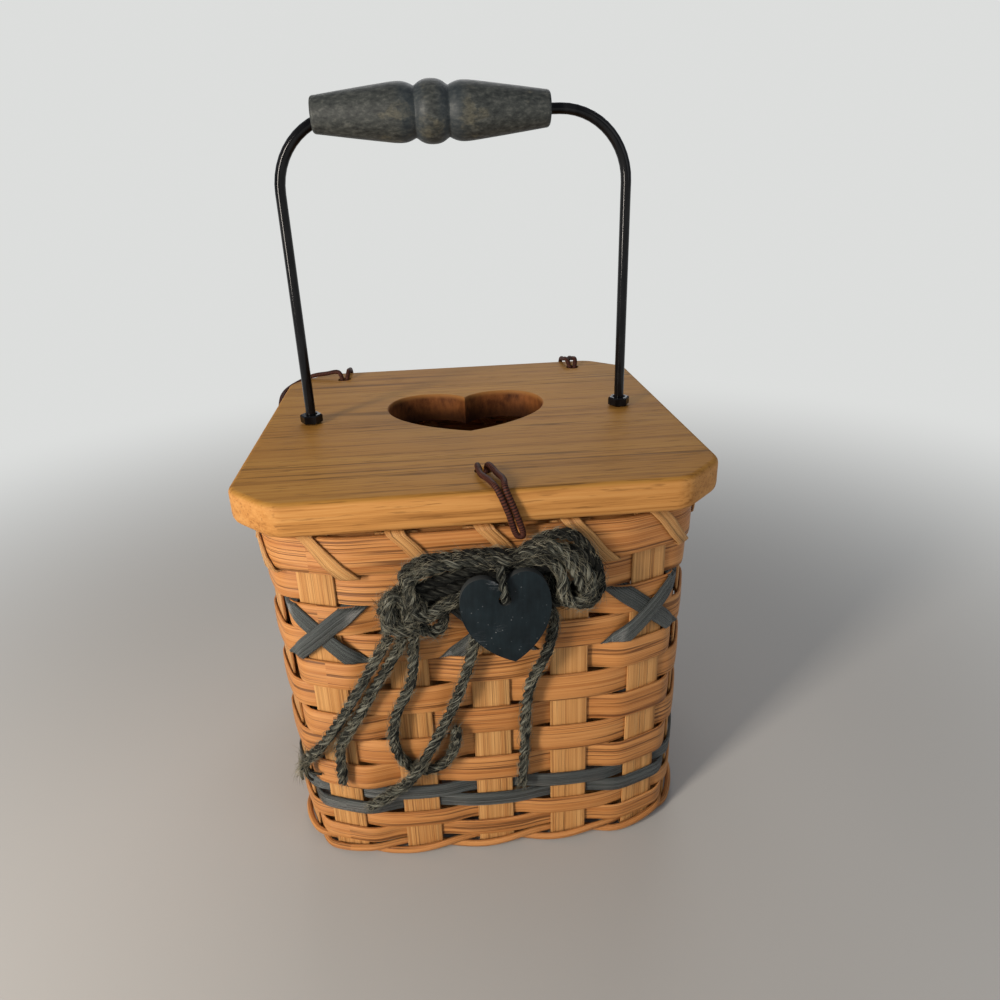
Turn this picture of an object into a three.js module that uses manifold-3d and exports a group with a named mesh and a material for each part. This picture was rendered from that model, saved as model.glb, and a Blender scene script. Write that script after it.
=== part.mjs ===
// Tissue basket: a woven splint basket with a hinged board lid, a wire bail and a twine bow.
// Millimetres, +Z up, the front is -Y. The origin is the middle of the base, where it rests.
import * as THREE from 'three';
import { mergeVertices } from 'three/addons/utils/BufferGeometryUtils.js';
import Module from 'manifold-3d';

const wasm = await Module();
wasm.setup();

// Gap kept between two pieces that touch
const CLEARANCE = 0.3;

// Plan of the wall: a rounded square with bowed sides
const WALL_HALF = 71.4;
const WALL_SQUARENESS = 4.8;

// Stakes, the flat uprights that cross in the base and fold up into the wall
const STAKES_PER_SIDE = 5;
const STAKE_CORNER = 19;
const STAKE_WIDTH = 12.2;
const STAKE_THICKNESS = 1.1;
const STAKE_FOLD_RADIUS = 1.55;

// Weavers, the flat reeds that run round the wall
const WEAVER_THICKNESS = 1.0;
const WIDE_WEAVER = 9.85;
const WIDE_ROWS = 8;
const DYED_WEAVER = 5.1;
const NARROW_WEAVER = 6.2;
const NARROW_ROWS = 2;
const ROW_GAP = 0.7;

// Two round reeds twined round the foot of the wall
const TWINE_REED = 2.6;
const TWINE_CROSSING = 1.7;
const TWINE_FLOOR_GAP = 0.1;

// Rim bands and the strip that lashes them
const RIM_HEIGHT = 12.8;
const RIM_THICKNESS = 2.0;
const RIM_SLOT = 1.6;
const LASH_WIDTH = 7.8;
const LASH_THICKNESS = 0.7;
const LASH_STANDOFF = 0.5;

// Dyed strips that cross in an X over every other stake
const CROSS_WIDTH = 6.0;
const CROSS_THICKNESS = 0.7;
const CROSS_STRETCH = 1.25;

// Board lid with clipped corners and a heart-shaped opening
const LID_OVERHANG = 0.55;
const LID_THICKNESS = 11.4;
const LID_CLIP = 17;
const LID_CORNER_SOFTENING = 4;
const LID_ROUND_OVER = 2.6;
const HEART_OPENING_WIDTH = 61;
const HEART_OPENING_HEIGHT = 50;
const HEART_OPENING_BACK = 30;

// Wire bail, its nuts and its turned grip
const WIRE_DIAMETER = 3.6;
const BAIL_INSET = 9.15;
const BAIL_HEIGHT = 102.3;
const BAIL_BEND = 23;
const BAIL_TAIL = 1.2;
const NUT_ACROSS_FLATS = 7;
const NUT_HEIGHT = 3.2;
const NUT_CHAMFER = 0.4;
const GRIP_LAP = 3.3;
const GRIP_SHIFT = -6.7;
const GRIP_END_RADIUS = 5.9;
const GRIP_BARREL_RADIUS = 9.6;
const GRIP_GROOVE_RADIUS = 7.8;
const GRIP_BEAD_RADIUS = 10.2;
const GRIP_BEAD_WIDTH = 10.6;
const GRIP_BORE_PLAY = 0.4;
const GRIP_MOUTH_RADIUS = 4.8;
const GRIP_MOUTH_DEPTH = 9;

// Elastic cord ties through the lid
const TIE_CORD = 2.2;
const TIE_KNOT = 5.6;
const TIE_HOLE_PLAY = 1.4;
const FRONT_TIE_X = 1.4;
const FRONT_TIE_INSET = 16.5;
const BACK_TIE_SIDE = 24;
const BACK_TIE_GAP = 0.95;
const BACK_KNOT_GAP = 1.2;

// Twine bow with its tails and the wooden heart that hangs on it
const BOW_TWINE = 3.1;
const BOW_LOOPS = 3;
const BOW_LOOP_GAP = 0.6;
const BOW_LEFT = { x: -24, drop: 21.6, radius: 7.5 };
const BOW_RIGHT = { x: 24.5, drop: 14.9, radius: 10.3 };
const BOW_WAIST_LIFT = 4.4;
const BOW_WAIST_PINCH = 2.7;
const TAG_WIDTH = 28.5;
const TAG_HEIGHT = 30.5;
const TAG_THICKNESS = 2.6;
const TAG_HOLE = 3.8;
const TAG_HOLE_DROP = 8.4;
const TAG_TILT = 7;
const TAG_HANG = { x: 4.5, drop: 9.54 };
const TAG_STRING = 2.4;

// Facets
const ROUND_SIDES = 8;
const TWINE_SIDES = 6;
const LOOP_STEPS = 24;
const GRIP_SIDES = 18;

// Levels and radial offsets that follow from the sizes above
const SIDES = 4;
const STAKE_COUNT = SIDES * STAKES_PER_SIDE;
const LAST_SLOT = (STAKES_PER_SIDE - 1) / 2;
const STAKE_PITCH = (WALL_HALF - STAKE_CORNER) / LAST_SLOT;
const FLAT_HALF = STAKE_WIDTH / 2 + CLEARANCE;
const WEAVER_OFFSET = (STAKE_THICKNESS + WEAVER_THICKNESS) / 2 + CLEARANCE;
const CROSS_OFFSET = (WEAVER_THICKNESS + CROSS_THICKNESS) / 2 + CLEARANCE;
const TUCKED_OFFSET = WEAVER_OFFSET + CROSS_THICKNESS + CLEARANCE;
const TWINE_OFFSET = (STAKE_THICKNESS + TWINE_REED) / 2 + 1.3 * CLEARANCE;
const RIM_OFFSET = (STAKE_THICKNESS + RIM_THICKNESS) / 2 + CLEARANCE;
const RIM_FACE = RIM_OFFSET + RIM_THICKNESS / 2;
const LASH_FACE = RIM_FACE + LASH_STANDOFF + LASH_THICKNESS;
const WEAVE_FACE = WEAVER_OFFSET + WEAVER_THICKNESS / 2;
const CROSS_FACE = WEAVE_FACE + 2 * (CROSS_THICKNESS + CLEARANCE);
const TWINE_LEVEL = TWINE_FLOOR_GAP + TWINE_CROSSING + TWINE_REED / 2;
const FIRST_ROW = TWINE_LEVEL + TWINE_CROSSING + TWINE_REED / 2 + CLEARANCE;
const DYED_LOW = FIRST_ROW + NARROW_ROWS * (NARROW_WEAVER + ROW_GAP);
const WIDE_LOW = DYED_LOW + 2 * (DYED_WEAVER + ROW_GAP);
const WIDE_PITCH = WIDE_WEAVER + ROW_GAP;
const RIM_LOW = WIDE_LOW + WIDE_ROWS * WIDE_PITCH - ROW_GAP + RIM_SLOT;
const RIM_TOP = RIM_LOW + RIM_HEIGHT;
const LID_LOW = RIM_TOP + LASH_STANDOFF + LASH_THICKNESS + CLEARANCE;
const LID_TOP = LID_LOW + LID_THICKNESS;
const LID_HALF = WALL_HALF + LASH_FACE + LID_OVERHANG;
const BAIL_SPAN = 2 * (WALL_HALF - LASH_FACE - BAIL_INSET);
const GRIP_LENGTH = BAIL_SPAN - 2 * BAIL_BEND + 2 * GRIP_LAP;
const GRIP_LEVEL = LID_TOP + BAIL_HEIGHT;
const TIE_HOLE = 2 * TIE_CORD + TIE_HOLE_PLAY;
const BOW_LOOP_STEP = BOW_TWINE + BOW_LOOP_GAP;

// Finishes
const finish = (color, roughness, metalness = 0) => () =>
  new THREE.MeshStandardMaterial({ color, roughness, metalness });
const stakeReed = finish(0xc99a5b, 0.7);
const weaverReed = finish(0xb9793c, 0.65);
const dyedReed = finish(0x434b50, 0.75);
const lidWood = finish(0xb98850, 0.5);
const blackWire = finish(0x121316, 0.35, 0.7);
const gripWood = finish(0x4b4a46, 0.75);
const tieCord = finish(0x33191a, 0.6);
const bowTwine = finish(0x3b4038, 0.95);
const tagWood = finish(0x1d232c, 0.6);

const basket = new THREE.Group();

function addPiece(name, geometry, material) {
  const mesh = new THREE.Mesh(geometry, material());
  mesh.name = name;
  basket.add(mesh);
}

// Solids from rings of points and from booleans

function signedVolume(points, triangles) {
  let volume = 0;
  for (let i = 0; i < triangles.length; i += 3) {
    const [a, b, c] = [0, 1, 2].map((corner) => points[triangles[i + corner]]);
    volume += a.dot(b.clone().cross(c)) / 6;
  }
  return volume;
}

// Skins a row of rings that all have the same number of points; a closed row joins its own start.
function loft(rings, closed) {
  const count = rings[0].length;
  const points = rings.flat();
  const triangles = [];
  const spans = closed ? rings.length : rings.length - 1;
  for (let i = 0; i < spans; i += 1) {
    const here = i * count;
    const next = ((i + 1) % rings.length) * count;
    for (let j = 0; j < count; j += 1) {
      const k = (j + 1) % count;
      triangles.push(here + j, here + k, next + k, here + j, next + k, next + j);
    }
  }
  if (!closed) {
    const last = (rings.length - 1) * count;
    for (let j = 1; j < count - 1; j += 1) {
      triangles.push(0, j + 1, j, last, last + j, last + j + 1);
    }
  }
  if (signedVolume(points, triangles) < 0) {
    triangles.reverse();
  }
  const geometry = new THREE.BufferGeometry().setFromPoints(points);
  geometry.setIndex(triangles);
  geometry.computeVertexNormals();
  return geometry;
}

function toSolid(geometry) {
  const plain = geometry.clone();
  plain.deleteAttribute('normal');
  plain.deleteAttribute('uv');
  const merged = mergeVertices(plain, 1e-4);
  const vertProperties = new Float32Array(merged.attributes.position.array);
  const triVerts = new Uint32Array(merged.index.array);
  return new wasm.Manifold(new wasm.Mesh({ numProp: 3, vertProperties, triVerts }));
}

function fromSolid(solid) {
  const mesh = solid.getMesh();
  const geometry = new THREE.BufferGeometry();
  geometry.setAttribute('position', new THREE.BufferAttribute(mesh.vertProperties, mesh.numProp));
  geometry.setIndex(new THREE.BufferAttribute(mesh.triVerts, 1));
  geometry.computeVertexNormals();
  return geometry;
}

function uprightHole(x, y, diameter) {
  const drill = new THREE.CylinderGeometry(diameter / 2, diameter / 2, 2 * LID_THICKNESS, 2 * ROUND_SIDES);
  drill.rotateX(Math.PI / 2);
  drill.translate(x, y, (LID_LOW + LID_TOP) / 2);
  return toSolid(drill);
}

function roundSection(radius, sides) {
  const corners = Array.from({ length: sides }, (_, i) => {
    const turn = (2 * Math.PI * i) / sides;
    return new THREE.Vector2(radius * Math.cos(turn), radius * Math.sin(turn));
  });
  return new THREE.Shape(corners);
}

// A cord along hand-placed points, with a step every two to three diameters.
function cord(points, diameter, stepDiameters = 2.4) {
  const path = new THREE.CatmullRomCurve3(points);
  const steps = Math.max(4, Math.round(path.getLength() / (stepDiameters * diameter)));
  const section = roundSection(diameter / 2, ROUND_SIDES);
  return new THREE.ExtrudeGeometry(section, { steps, bevelEnabled: false, extrudePath: path });
}

// Rings of a round tube through the given points, carried along without twist.
function tubeRings(points, radius, sides, closed) {
  const count = points.length;
  const at = (i) => points[closed ? (i + count) % count : THREE.MathUtils.clamp(i, 0, count - 1)];
  let side = null;
  return points.map((point, i) => {
    const along = at(i + 1).clone().sub(at(i - 1)).normalize();
    side = side ?? new THREE.Vector3(0, 1, 0).cross(along);
    side = side.clone().addScaledVector(along, -side.dot(along)).normalize();
    const rise = along.clone().cross(side);
    return Array.from({ length: sides }, (_, j) => {
      const turn = (2 * Math.PI * j) / sides;
      const reach = side.clone().multiplyScalar(Math.cos(turn)).addScaledVector(rise, Math.sin(turn));
      return point.clone().addScaledVector(reach, radius);
    });
  });
}

// The wall in plan. A slot counts stakes anticlockwise from the front left, and fractions lie between stakes.

const signedPower = (value, power) => Math.sign(value) * Math.abs(value) ** power;

// Depth of the front face at x, a given distance outside the wall's middle surface.
function frontFace(x, standoff) {
  const reach = WALL_HALF + standoff;
  return -((reach ** WALL_SQUARENESS - Math.abs(x) ** WALL_SQUARENESS) ** (1 / WALL_SQUARENESS));
}

const stakes = Array.from({ length: STAKE_COUNT }, (_, index) => {
  const side = Math.floor(index / STAKES_PER_SIDE);
  const x = ((index % STAKES_PER_SIDE) - LAST_SLOT) * STAKE_PITCH;
  const point = new THREE.Vector2(x, frontFace(x, 0));
  const outward = [point.x, point.y].map((value) => signedPower(value, WALL_SQUARENESS - 1));
  const normal = new THREE.Vector2(...outward).normalize();
  const centre = new THREE.Vector2();
  point.rotateAround(centre, (side * Math.PI) / 2);
  normal.rotateAround(centre, (side * Math.PI) / 2);
  return { side, point, normal, tangent: new THREE.Vector2(-normal.y, normal.x) };
});

const stakeAt = (index) => stakes[(index + STAKE_COUNT) % STAKE_COUNT];
const alongStake = (stake, distance) => stake.point.clone().addScaledVector(stake.tangent, distance);

const gaps = stakes.map((stake, index) => {
  const next = stakeAt(index + 1);
  const start = alongStake(stake, FLAT_HALF);
  const end = alongStake(next, -FLAT_HALF);
  const reach = start.distanceTo(end) / 3;
  const leave = start.clone().addScaledVector(stake.tangent, reach);
  const arrive = end.clone().addScaledVector(next.tangent, -reach);
  return new THREE.CubicBezierCurve(start, leave, arrive, end);
});

const FLAT_SLOT = FLAT_HALF / STAKE_PITCH;
const turnsCorner = (index) => stakeAt(index).side !== stakeAt(index + 1).side;
const slotInGap = (index, share) => index + FLAT_SLOT + share * (1 - 2 * FLAT_SLOT);

function wallPoint(slot, offset, z) {
  const nearest = Math.round(slot);
  const fromStake = slot - nearest;
  if (Math.abs(fromStake) <= FLAT_SLOT + 1e-9) {
    const stake = stakeAt(nearest);
    const flat = alongStake(stake, fromStake * STAKE_PITCH).addScaledVector(stake.normal, offset);
    return new THREE.Vector3(flat.x, flat.y, z);
  }
  const index = Math.floor(slot);
  const gap = gaps[(index + STAKE_COUNT) % STAKE_COUNT];
  const share = (slot - index - FLAT_SLOT) / (1 - 2 * FLAT_SLOT);
  const tangent = gap.getTangent(share);
  const bent = gap.getPoint(share).addScaledVector(new THREE.Vector2(tangent.y, -tangent.x), offset);
  return new THREE.Vector3(bent.x, bent.y, z);
}

const CORNER_SHARES = [1 / 3, 2 / 3];
const wovenBends = (index) => (turnsCorner(index) ? CORNER_SHARES : []);
const bandBends = (index) => (turnsCorner(index) ? CORNER_SHARES : [1 / 2]);
const isOddStake = (index) => index % 2 === 0;

// Slots where a flat reed bends: both edges of every stake, and on the way round each corner.
function ringStations(offsetAtStake, sharesInGap) {
  return stakes.flatMap((_, index) => {
    const here = offsetAtStake(index);
    const next = offsetAtStake((index + 1) % STAKE_COUNT);
    const edges = [-FLAT_SLOT, FLAT_SLOT].map((edge) => ({ slot: index + edge, offset: here }));
    const bends = sharesInGap(index).map((share) => ({
      slot: slotInGap(index, share),
      offset: THREE.MathUtils.lerp(here, next, share),
    }));
    return [...edges, ...bends];
  });
}

// Flat section across the wall, from one offset and height to another.
function flatSection(slot, offset, thickness, low, high) {
  const inner = offset - thickness / 2;
  const outer = offset + thickness / 2;
  return [[inner, low], [outer, low], [outer, high], [inner, high]].map(([at, z]) => wallPoint(slot, at, z));
}

function flatRing(offsetAtStake, thickness, low, high, sharesInGap) {
  const stations = ringStations(offsetAtStake, sharesInGap);
  return loft(stations.map(({ slot, offset }) => flatSection(slot, offset, thickness, low, high)), true);
}

// Base and stakes

const STAKE_LEVELS = [STAKE_THICKNESS / 2, 1.5 * STAKE_THICKNESS + CLEARANCE];

// One stake from rim to rim: down a wall, through the base over and under the others, up the far wall.
function stakeStrip(slot, firstLevel) {
  const halfWidth = STAKE_WIDTH / 2;
  const halfThickness = STAKE_THICKNESS / 2;
  const x = slot * STAKE_PITCH;
  const wall = stakes[slot + LAST_SLOT];
  const wallDepth = -wall.point.y;
  const up = new THREE.Vector3(0, 0, 1);
  const section = (depth, z, turn, lean, end) => {
    const across = new THREE.Vector3(Math.cos(turn), -Math.sin(turn) * end, 0);
    const outward = new THREE.Vector3(-across.y, across.x, 0).multiplyScalar(end);
    const face = outward.multiplyScalar(Math.sin(lean)).addScaledVector(up, -Math.cos(lean));
    const centre = new THREE.Vector3(x, depth * end, z);
    const corners = [[-1, -1], [1, -1], [1, 1], [-1, 1]];
    return corners.map(([w, t]) =>
      centre.clone().addScaledVector(across, w * halfWidth).addScaledVector(face, t * halfThickness));
  };
  const wallTurn = Math.atan2(wall.tangent.y, wall.tangent.x);
  const foldSteps = 3;
  const wallEnd = (end) => {
    const rings = [section(wallDepth, RIM_TOP, wallTurn, Math.PI / 2, end)];
    for (let i = foldSteps; i >= 0; i -= 1) {
      const lean = (Math.PI / 2) * (i / foldSteps);
      const depth = wallDepth - STAKE_FOLD_RADIUS * (1 - Math.sin(lean));
      const z = halfThickness + STAKE_FOLD_RADIUS * (1 - Math.cos(lean));
      rings.push(section(depth, z, (wallTurn * i) / foldSteps, lean, end));
    }
    const innerReach = TWINE_OFFSET + TWINE_REED / 2 + CLEARANCE;
    rings.push(section(wallDepth - innerReach, halfThickness, 0, 0, end));
    return rings;
  };
  const front = wallEnd(-1);
  const back = wallEnd(1).reverse();
  const base = [];
  for (let cross = -LAST_SLOT; cross <= LAST_SLOT; cross += 1) {
    const level = STAKE_LEVELS[(Math.abs(cross + slot) + firstLevel) % 2];
    for (const edge of [-FLAT_HALF, FLAT_HALF]) {
      base.push(section(cross * STAKE_PITCH + edge, level, 0, 0, 1));
    }
  }
  return loft([...front, ...base, ...back], false);
}

for (let slot = -LAST_SLOT; slot <= LAST_SLOT; slot += 1) {
  const number = slot + LAST_SLOT + 1;
  addPiece(`stake_front_back_${number}`, stakeStrip(slot, 1), stakeReed);
  addPiece(`stake_left_right_${number}`, stakeStrip(slot, 0).rotateZ(Math.PI / 2), stakeReed);
}

// Twined foot: one reed runs outside a stake while the other runs inside. Between stakes they swap, and the
// one that goes in passes above the one that comes out.
function footTwine(strand) {
  const points = stakes.flatMap((_, index) => {
    const way = (index + strand) % 2 === 0 ? 1 : -1;
    const reach = way * TWINE_OFFSET;
    const edges = [-FLAT_SLOT, FLAT_SLOT].map((edge) => wallPoint(index + edge, reach, TWINE_LEVEL));
    const crossing = CORNER_SHARES.map((share) => {
      const turn = Math.PI * share;
      const offset = reach * Math.cos(turn);
      const dip = share < 0.5 ? -0.45 : -1;
      const lift = TWINE_CROSSING * (way > 0 ? 1 : dip);
      return wallPoint(slotInGap(index, share), offset, TWINE_LEVEL + lift);
    });
    return [...edges, ...crossing];
  });
  return loft(tubeRings(points, TWINE_REED / 2, TWINE_SIDES, true), true);
}

addPiece('foot_twine_a', footTwine(0), weaverReed);
addPiece('foot_twine_b', footTwine(1), weaverReed);

// Weavers

// Rows that leave room for the crossing strips behind the stakes they pass inside.
const CROSS_TOP_ROW = 2;
const CROSS_LOW_ROW = 4;

function weaverOffset(oddOutside, tucks) {
  return (index) => {
    if (isOddStake(index) === oddOutside) {
      return WEAVER_OFFSET;
    }
    return tucks ? -TUCKED_OFFSET : -WEAVER_OFFSET;
  };
}

function addWeaver(name, low, height, oddOutside, material, tucks = false) {
  const offset = weaverOffset(oddOutside, tucks);
  addPiece(name, flatRing(offset, WEAVER_THICKNESS, low, low + height, wovenBends), material);
}

const wideRowLow = (row) => WIDE_LOW + (WIDE_ROWS - row) * WIDE_PITCH;

for (let row = 1; row <= WIDE_ROWS; row += 1) {
  const tucks = row === CROSS_TOP_ROW || row === CROSS_LOW_ROW;
  addWeaver(`weaver_row_${row}`, wideRowLow(row), WIDE_WEAVER, row % 2 === 0, weaverReed, tucks);
}
addWeaver('dyed_weaver_upper', DYED_LOW + DYED_WEAVER + ROW_GAP, DYED_WEAVER, WIDE_ROWS % 2 !== 0, dyedReed);
addWeaver('dyed_weaver_lower', DYED_LOW, DYED_WEAVER, WIDE_ROWS % 2 === 0, dyedReed);
for (let row = 1; row <= NARROW_ROWS; row += 1) {
  const low = FIRST_ROW + (NARROW_ROWS - row) * (NARROW_WEAVER + ROW_GAP);
  addWeaver(`weaver_row_${WIDE_ROWS + row}`, low, NARROW_WEAVER, (WIDE_ROWS + row) % 2 === 0, weaverReed);
}

// Crossing strips: over the weave at odd stakes, tucked behind even stakes, by turns high and low.
function crossStrip(startsUp, lift) {
  const { lerp } = THREE.MathUtils;
  const middle = wideRowLow(CROSS_TOP_ROW) - ROW_GAP / 2;
  const tuckLevel = (row) => wideRowLow(row) + WIDE_WEAVER - CROSS_WIDTH / 2;
  const over = WEAVER_OFFSET + CROSS_OFFSET;
  const behind = CROSS_OFFSET - TUCKED_OFFSET;
  // One arm, from the edge of the odd stake to the edge of the even stake next to it.
  const arm = (index, way, level) => {
    const gapIndex = way < 0 ? index - 1 : index;
    const corner = turnsCorner((gapIndex + STAKE_COUNT) % STAKE_COUNT);
    const leaving = lerp(middle, level, 2 * FLAT_SLOT);
    const bends = (corner ? [1 / 3, 1 / 2, 2 / 3] : [1 / 2]).map((share) => {
      const reached = Math.min(1, 2 * share);
      return {
        slot: slotInGap(gapIndex, way < 0 ? 1 - share : share),
        offset: lerp(over, behind, share) + lift * (1 - reached),
        z: lerp(leaving, level, reached),
        stretch: lerp(CROSS_STRETCH, 1, reached),
      };
    });
    return [
      { slot: index + way * FLAT_SLOT, offset: over + lift, z: leaving, stretch: CROSS_STRETCH },
      ...bends,
      { slot: index + way * (1 - FLAT_SLOT), offset: behind, z: level, stretch: 1 },
    ];
  };
  const stations = [];
  for (let index = 0; index < STAKE_COUNT; index += 2) {
    const rising = (index / 2) % 2 === (startsUp ? 0 : 1);
    const rows = rising ? [CROSS_LOW_ROW, CROSS_TOP_ROW] : [CROSS_TOP_ROW, CROSS_LOW_ROW];
    stations.push(...arm(index, -1, tuckLevel(rows[0])).reverse(), ...arm(index, 1, tuckLevel(rows[1])));
  }
  const rings = stations.map(({ slot, offset, z, stretch }) => {
    const half = (CROSS_WIDTH * stretch) / 2;
    return flatSection(slot, offset, CROSS_THICKNESS, z - half, z + half);
  });
  return loft(rings, true);
}

addPiece('cross_strip_under', crossStrip(false, 0), dyedReed);
addPiece('cross_strip_over', crossStrip(true, CROSS_THICKNESS + CLEARANCE), dyedReed);

// Rim: two bands clamp the stake tops, and one long strip spirals round both, a turn for every stake.
for (const [name, offset] of [['rim_outer', RIM_OFFSET], ['rim_inner', -RIM_OFFSET]]) {
  addPiece(name, flatRing(() => offset, RIM_THICKNESS, RIM_LOW, RIM_TOP, bandBends), weaverReed);
}

function rimLashing() {
  const levels = [RIM_TOP + LASH_STANDOFF, RIM_LOW - LASH_STANDOFF];
  const half = LASH_WIDTH / 2 / STAKE_PITCH;
  const lean = 0.46;
  const rings = stakes.flatMap((stake, index) => {
    const turning = stake.normal.dot(stakeAt(index + 1).normal) < 0.99;
    const near = RIM_FACE + LASH_STANDOFF * (turning ? 1.4 : 1);
    const steps = turning ? 4 : 2;
    return [1, -1].flatMap((side) => Array.from({ length: steps + 1 }, (_, step) => {
      const share = step / steps;
      const slot = index + lean * share + (side > 0 ? 0 : 0.5);
      const drop = side > 0 ? share : 1 - share;
      const z = THREE.MathUtils.lerp(...levels, drop);
      const fold = { 0: LASH_THICKNESS, 1: -LASH_THICKNESS }[drop] ?? 0;
      const strip = [-half, 0, half];
      const inside = strip.map((edge) => wallPoint(slot + edge, side * near, z));
      const outside = strip.map((edge) => wallPoint(slot + edge, side * (near + LASH_THICKNESS), z + fold));
      return [...inside, ...outside.reverse()];
    }));
  });
  return loft(rings, true);
}

addPiece('rim_lashing', rimLashing(), stakeReed);

// Lid

// Heart outline with its tip at the origin, pointing down, of the given width and height.
function heartShape(width, height) {
  const half = width / 2;
  const notch = height * 0.84;
  const widest = height * 0.66;
  const heart = new THREE.Shape();
  heart.moveTo(0, 0);
  heart.bezierCurveTo(half * 0.45, height * 0.1, half, height * 0.34, half, widest);
  heart.bezierCurveTo(half, height * 0.9, half * 0.74, height, half * 0.48, height);
  heart.bezierCurveTo(half * 0.24, height, half * 0.06, height * 0.93, 0, notch);
  heart.bezierCurveTo(-half * 0.06, height * 0.93, -half * 0.24, height, -half * 0.48, height);
  heart.bezierCurveTo(-half * 0.74, height, -half, height * 0.9, -half, widest);
  heart.bezierCurveTo(-half, height * 0.34, -half * 0.45, height * 0.1, 0, 0);
  return heart;
}

function lidOutline() {
  const flat = LID_HALF - LID_CLIP;
  const corners = [[1, -1], [1, 1], [-1, 1], [-1, -1]].flatMap(([sx, sy]) => {
    const onSide = new THREE.Vector2(sx * LID_HALF, sy * flat);
    const onEnd = new THREE.Vector2(sx * flat, sy * LID_HALF);
    return sx * sy < 0 ? [onEnd, onSide] : [onSide, onEnd];
  });
  const outline = new THREE.Shape();
  corners.forEach((corner, i) => {
    const before = corners[(i + corners.length - 1) % corners.length];
    const after = corners[(i + 1) % corners.length];
    const backward = before.clone().sub(corner).normalize();
    const enter = corner.clone().addScaledVector(backward, LID_CORNER_SOFTENING);
    const onward = after.clone().sub(corner).normalize();
    const leave = corner.clone().addScaledVector(onward, LID_CORNER_SOFTENING);
    if (i === 0) {
      outline.moveTo(enter.x, enter.y);
    } else {
      outline.lineTo(enter.x, enter.y);
    }
    outline.quadraticCurveTo(corner.x, corner.y, leave.x, leave.y);
  });
  return outline;
}

const insideBackRim = (x, gap) => -frontFace(x, 0) - LASH_FACE - gap;

const tieHoles = [
  { x: FRONT_TIE_X, y: FRONT_TIE_INSET - LID_HALF },
  ...[-1, 1].map((side) => {
    const x = side * (LID_HALF - BACK_TIE_SIDE);
    return { x, y: insideBackRim(x, BACK_TIE_GAP) };
  }),
];

function heartCutter() {
  const heart = heartShape(HEART_OPENING_WIDTH, HEART_OPENING_HEIGHT);
  const depth = 2 * LID_THICKNESS;
  const cutter = new THREE.ExtrudeGeometry(heart, { depth, bevelEnabled: false, curveSegments: 6 });
  return toSolid(cutter.translate(0, HEART_OPENING_BACK - HEART_OPENING_HEIGHT, LID_LOW - LID_THICKNESS / 2));
}

function lidBoard() {
  const board = new THREE.ExtrudeGeometry(lidOutline(), {
    depth: LID_THICKNESS - 2 * LID_ROUND_OVER,
    bevelThickness: LID_ROUND_OVER,
    bevelSize: LID_ROUND_OVER,
    bevelOffset: -LID_ROUND_OVER,
    bevelSegments: 2,
    curveSegments: 3,
  });
  let solid = toSolid(board.translate(0, 0, LID_LOW + LID_ROUND_OVER)).subtract(heartCutter());
  for (const x of [-BAIL_SPAN / 2, BAIL_SPAN / 2]) {
    solid = solid.subtract(uprightHole(x, 0, WIRE_DIAMETER + 2 * CLEARANCE));
  }
  for (const { x, y } of tieHoles) {
    solid = solid.subtract(uprightHole(x, y, TIE_HOLE));
  }
  return fromSolid(solid);
}

addPiece('lid', lidBoard(), lidWood);

// Wire bail, nuts and grip

function bailWire() {
  const half = BAIL_SPAN / 2;
  const foot = LID_LOW - CLEARANCE - NUT_HEIGHT - BAIL_TAIL;
  const bendSteps = 7;
  const bend = (side) => Array.from({ length: bendSteps + 1 }, (_, i) => {
    const turn = (Math.PI / 2) * (i / bendSteps);
    const x = side * (half - BAIL_BEND * (1 - Math.cos(turn)));
    return new THREE.Vector3(x, 0, GRIP_LEVEL - BAIL_BEND * (1 - Math.sin(turn)));
  });
  const left = new THREE.Vector3(-half, 0, foot);
  const right = new THREE.Vector3(half, 0, foot);
  const points = [left, ...bend(-1), ...bend(1).reverse(), right];
  return loft(tubeRings(points, WIRE_DIAMETER / 2, 10, false), false);
}

addPiece('bail_wire', bailWire(), blackWire);

function hexNut(x, low) {
  const corner = NUT_ACROSS_FLATS / Math.sqrt(3) - NUT_CHAMFER;
  const outline = roundSection(corner, 6);
  const bore = roundSection(WIRE_DIAMETER / 2 + CLEARANCE + NUT_CHAMFER, 12).getPoints().reverse();
  outline.holes.push(new THREE.Path(bore));
  const nut = new THREE.ExtrudeGeometry(outline, {
    depth: NUT_HEIGHT - 2 * NUT_CHAMFER,
    bevelThickness: NUT_CHAMFER,
    bevelSize: NUT_CHAMFER,
    bevelSegments: 1,
  });
  return nut.translate(x, 0, low + NUT_CHAMFER);
}

for (const [name, side] of [['left', -1], ['right', 1]]) {
  addPiece(`nut_upper_${name}`, hexNut((side * BAIL_SPAN) / 2, LID_TOP + CLEARANCE), blackWire);
  addPiece(`nut_lower_${name}`, hexNut((side * BAIL_SPAN) / 2, LID_LOW - CLEARANCE - NUT_HEIGHT), blackWire);
}

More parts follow.
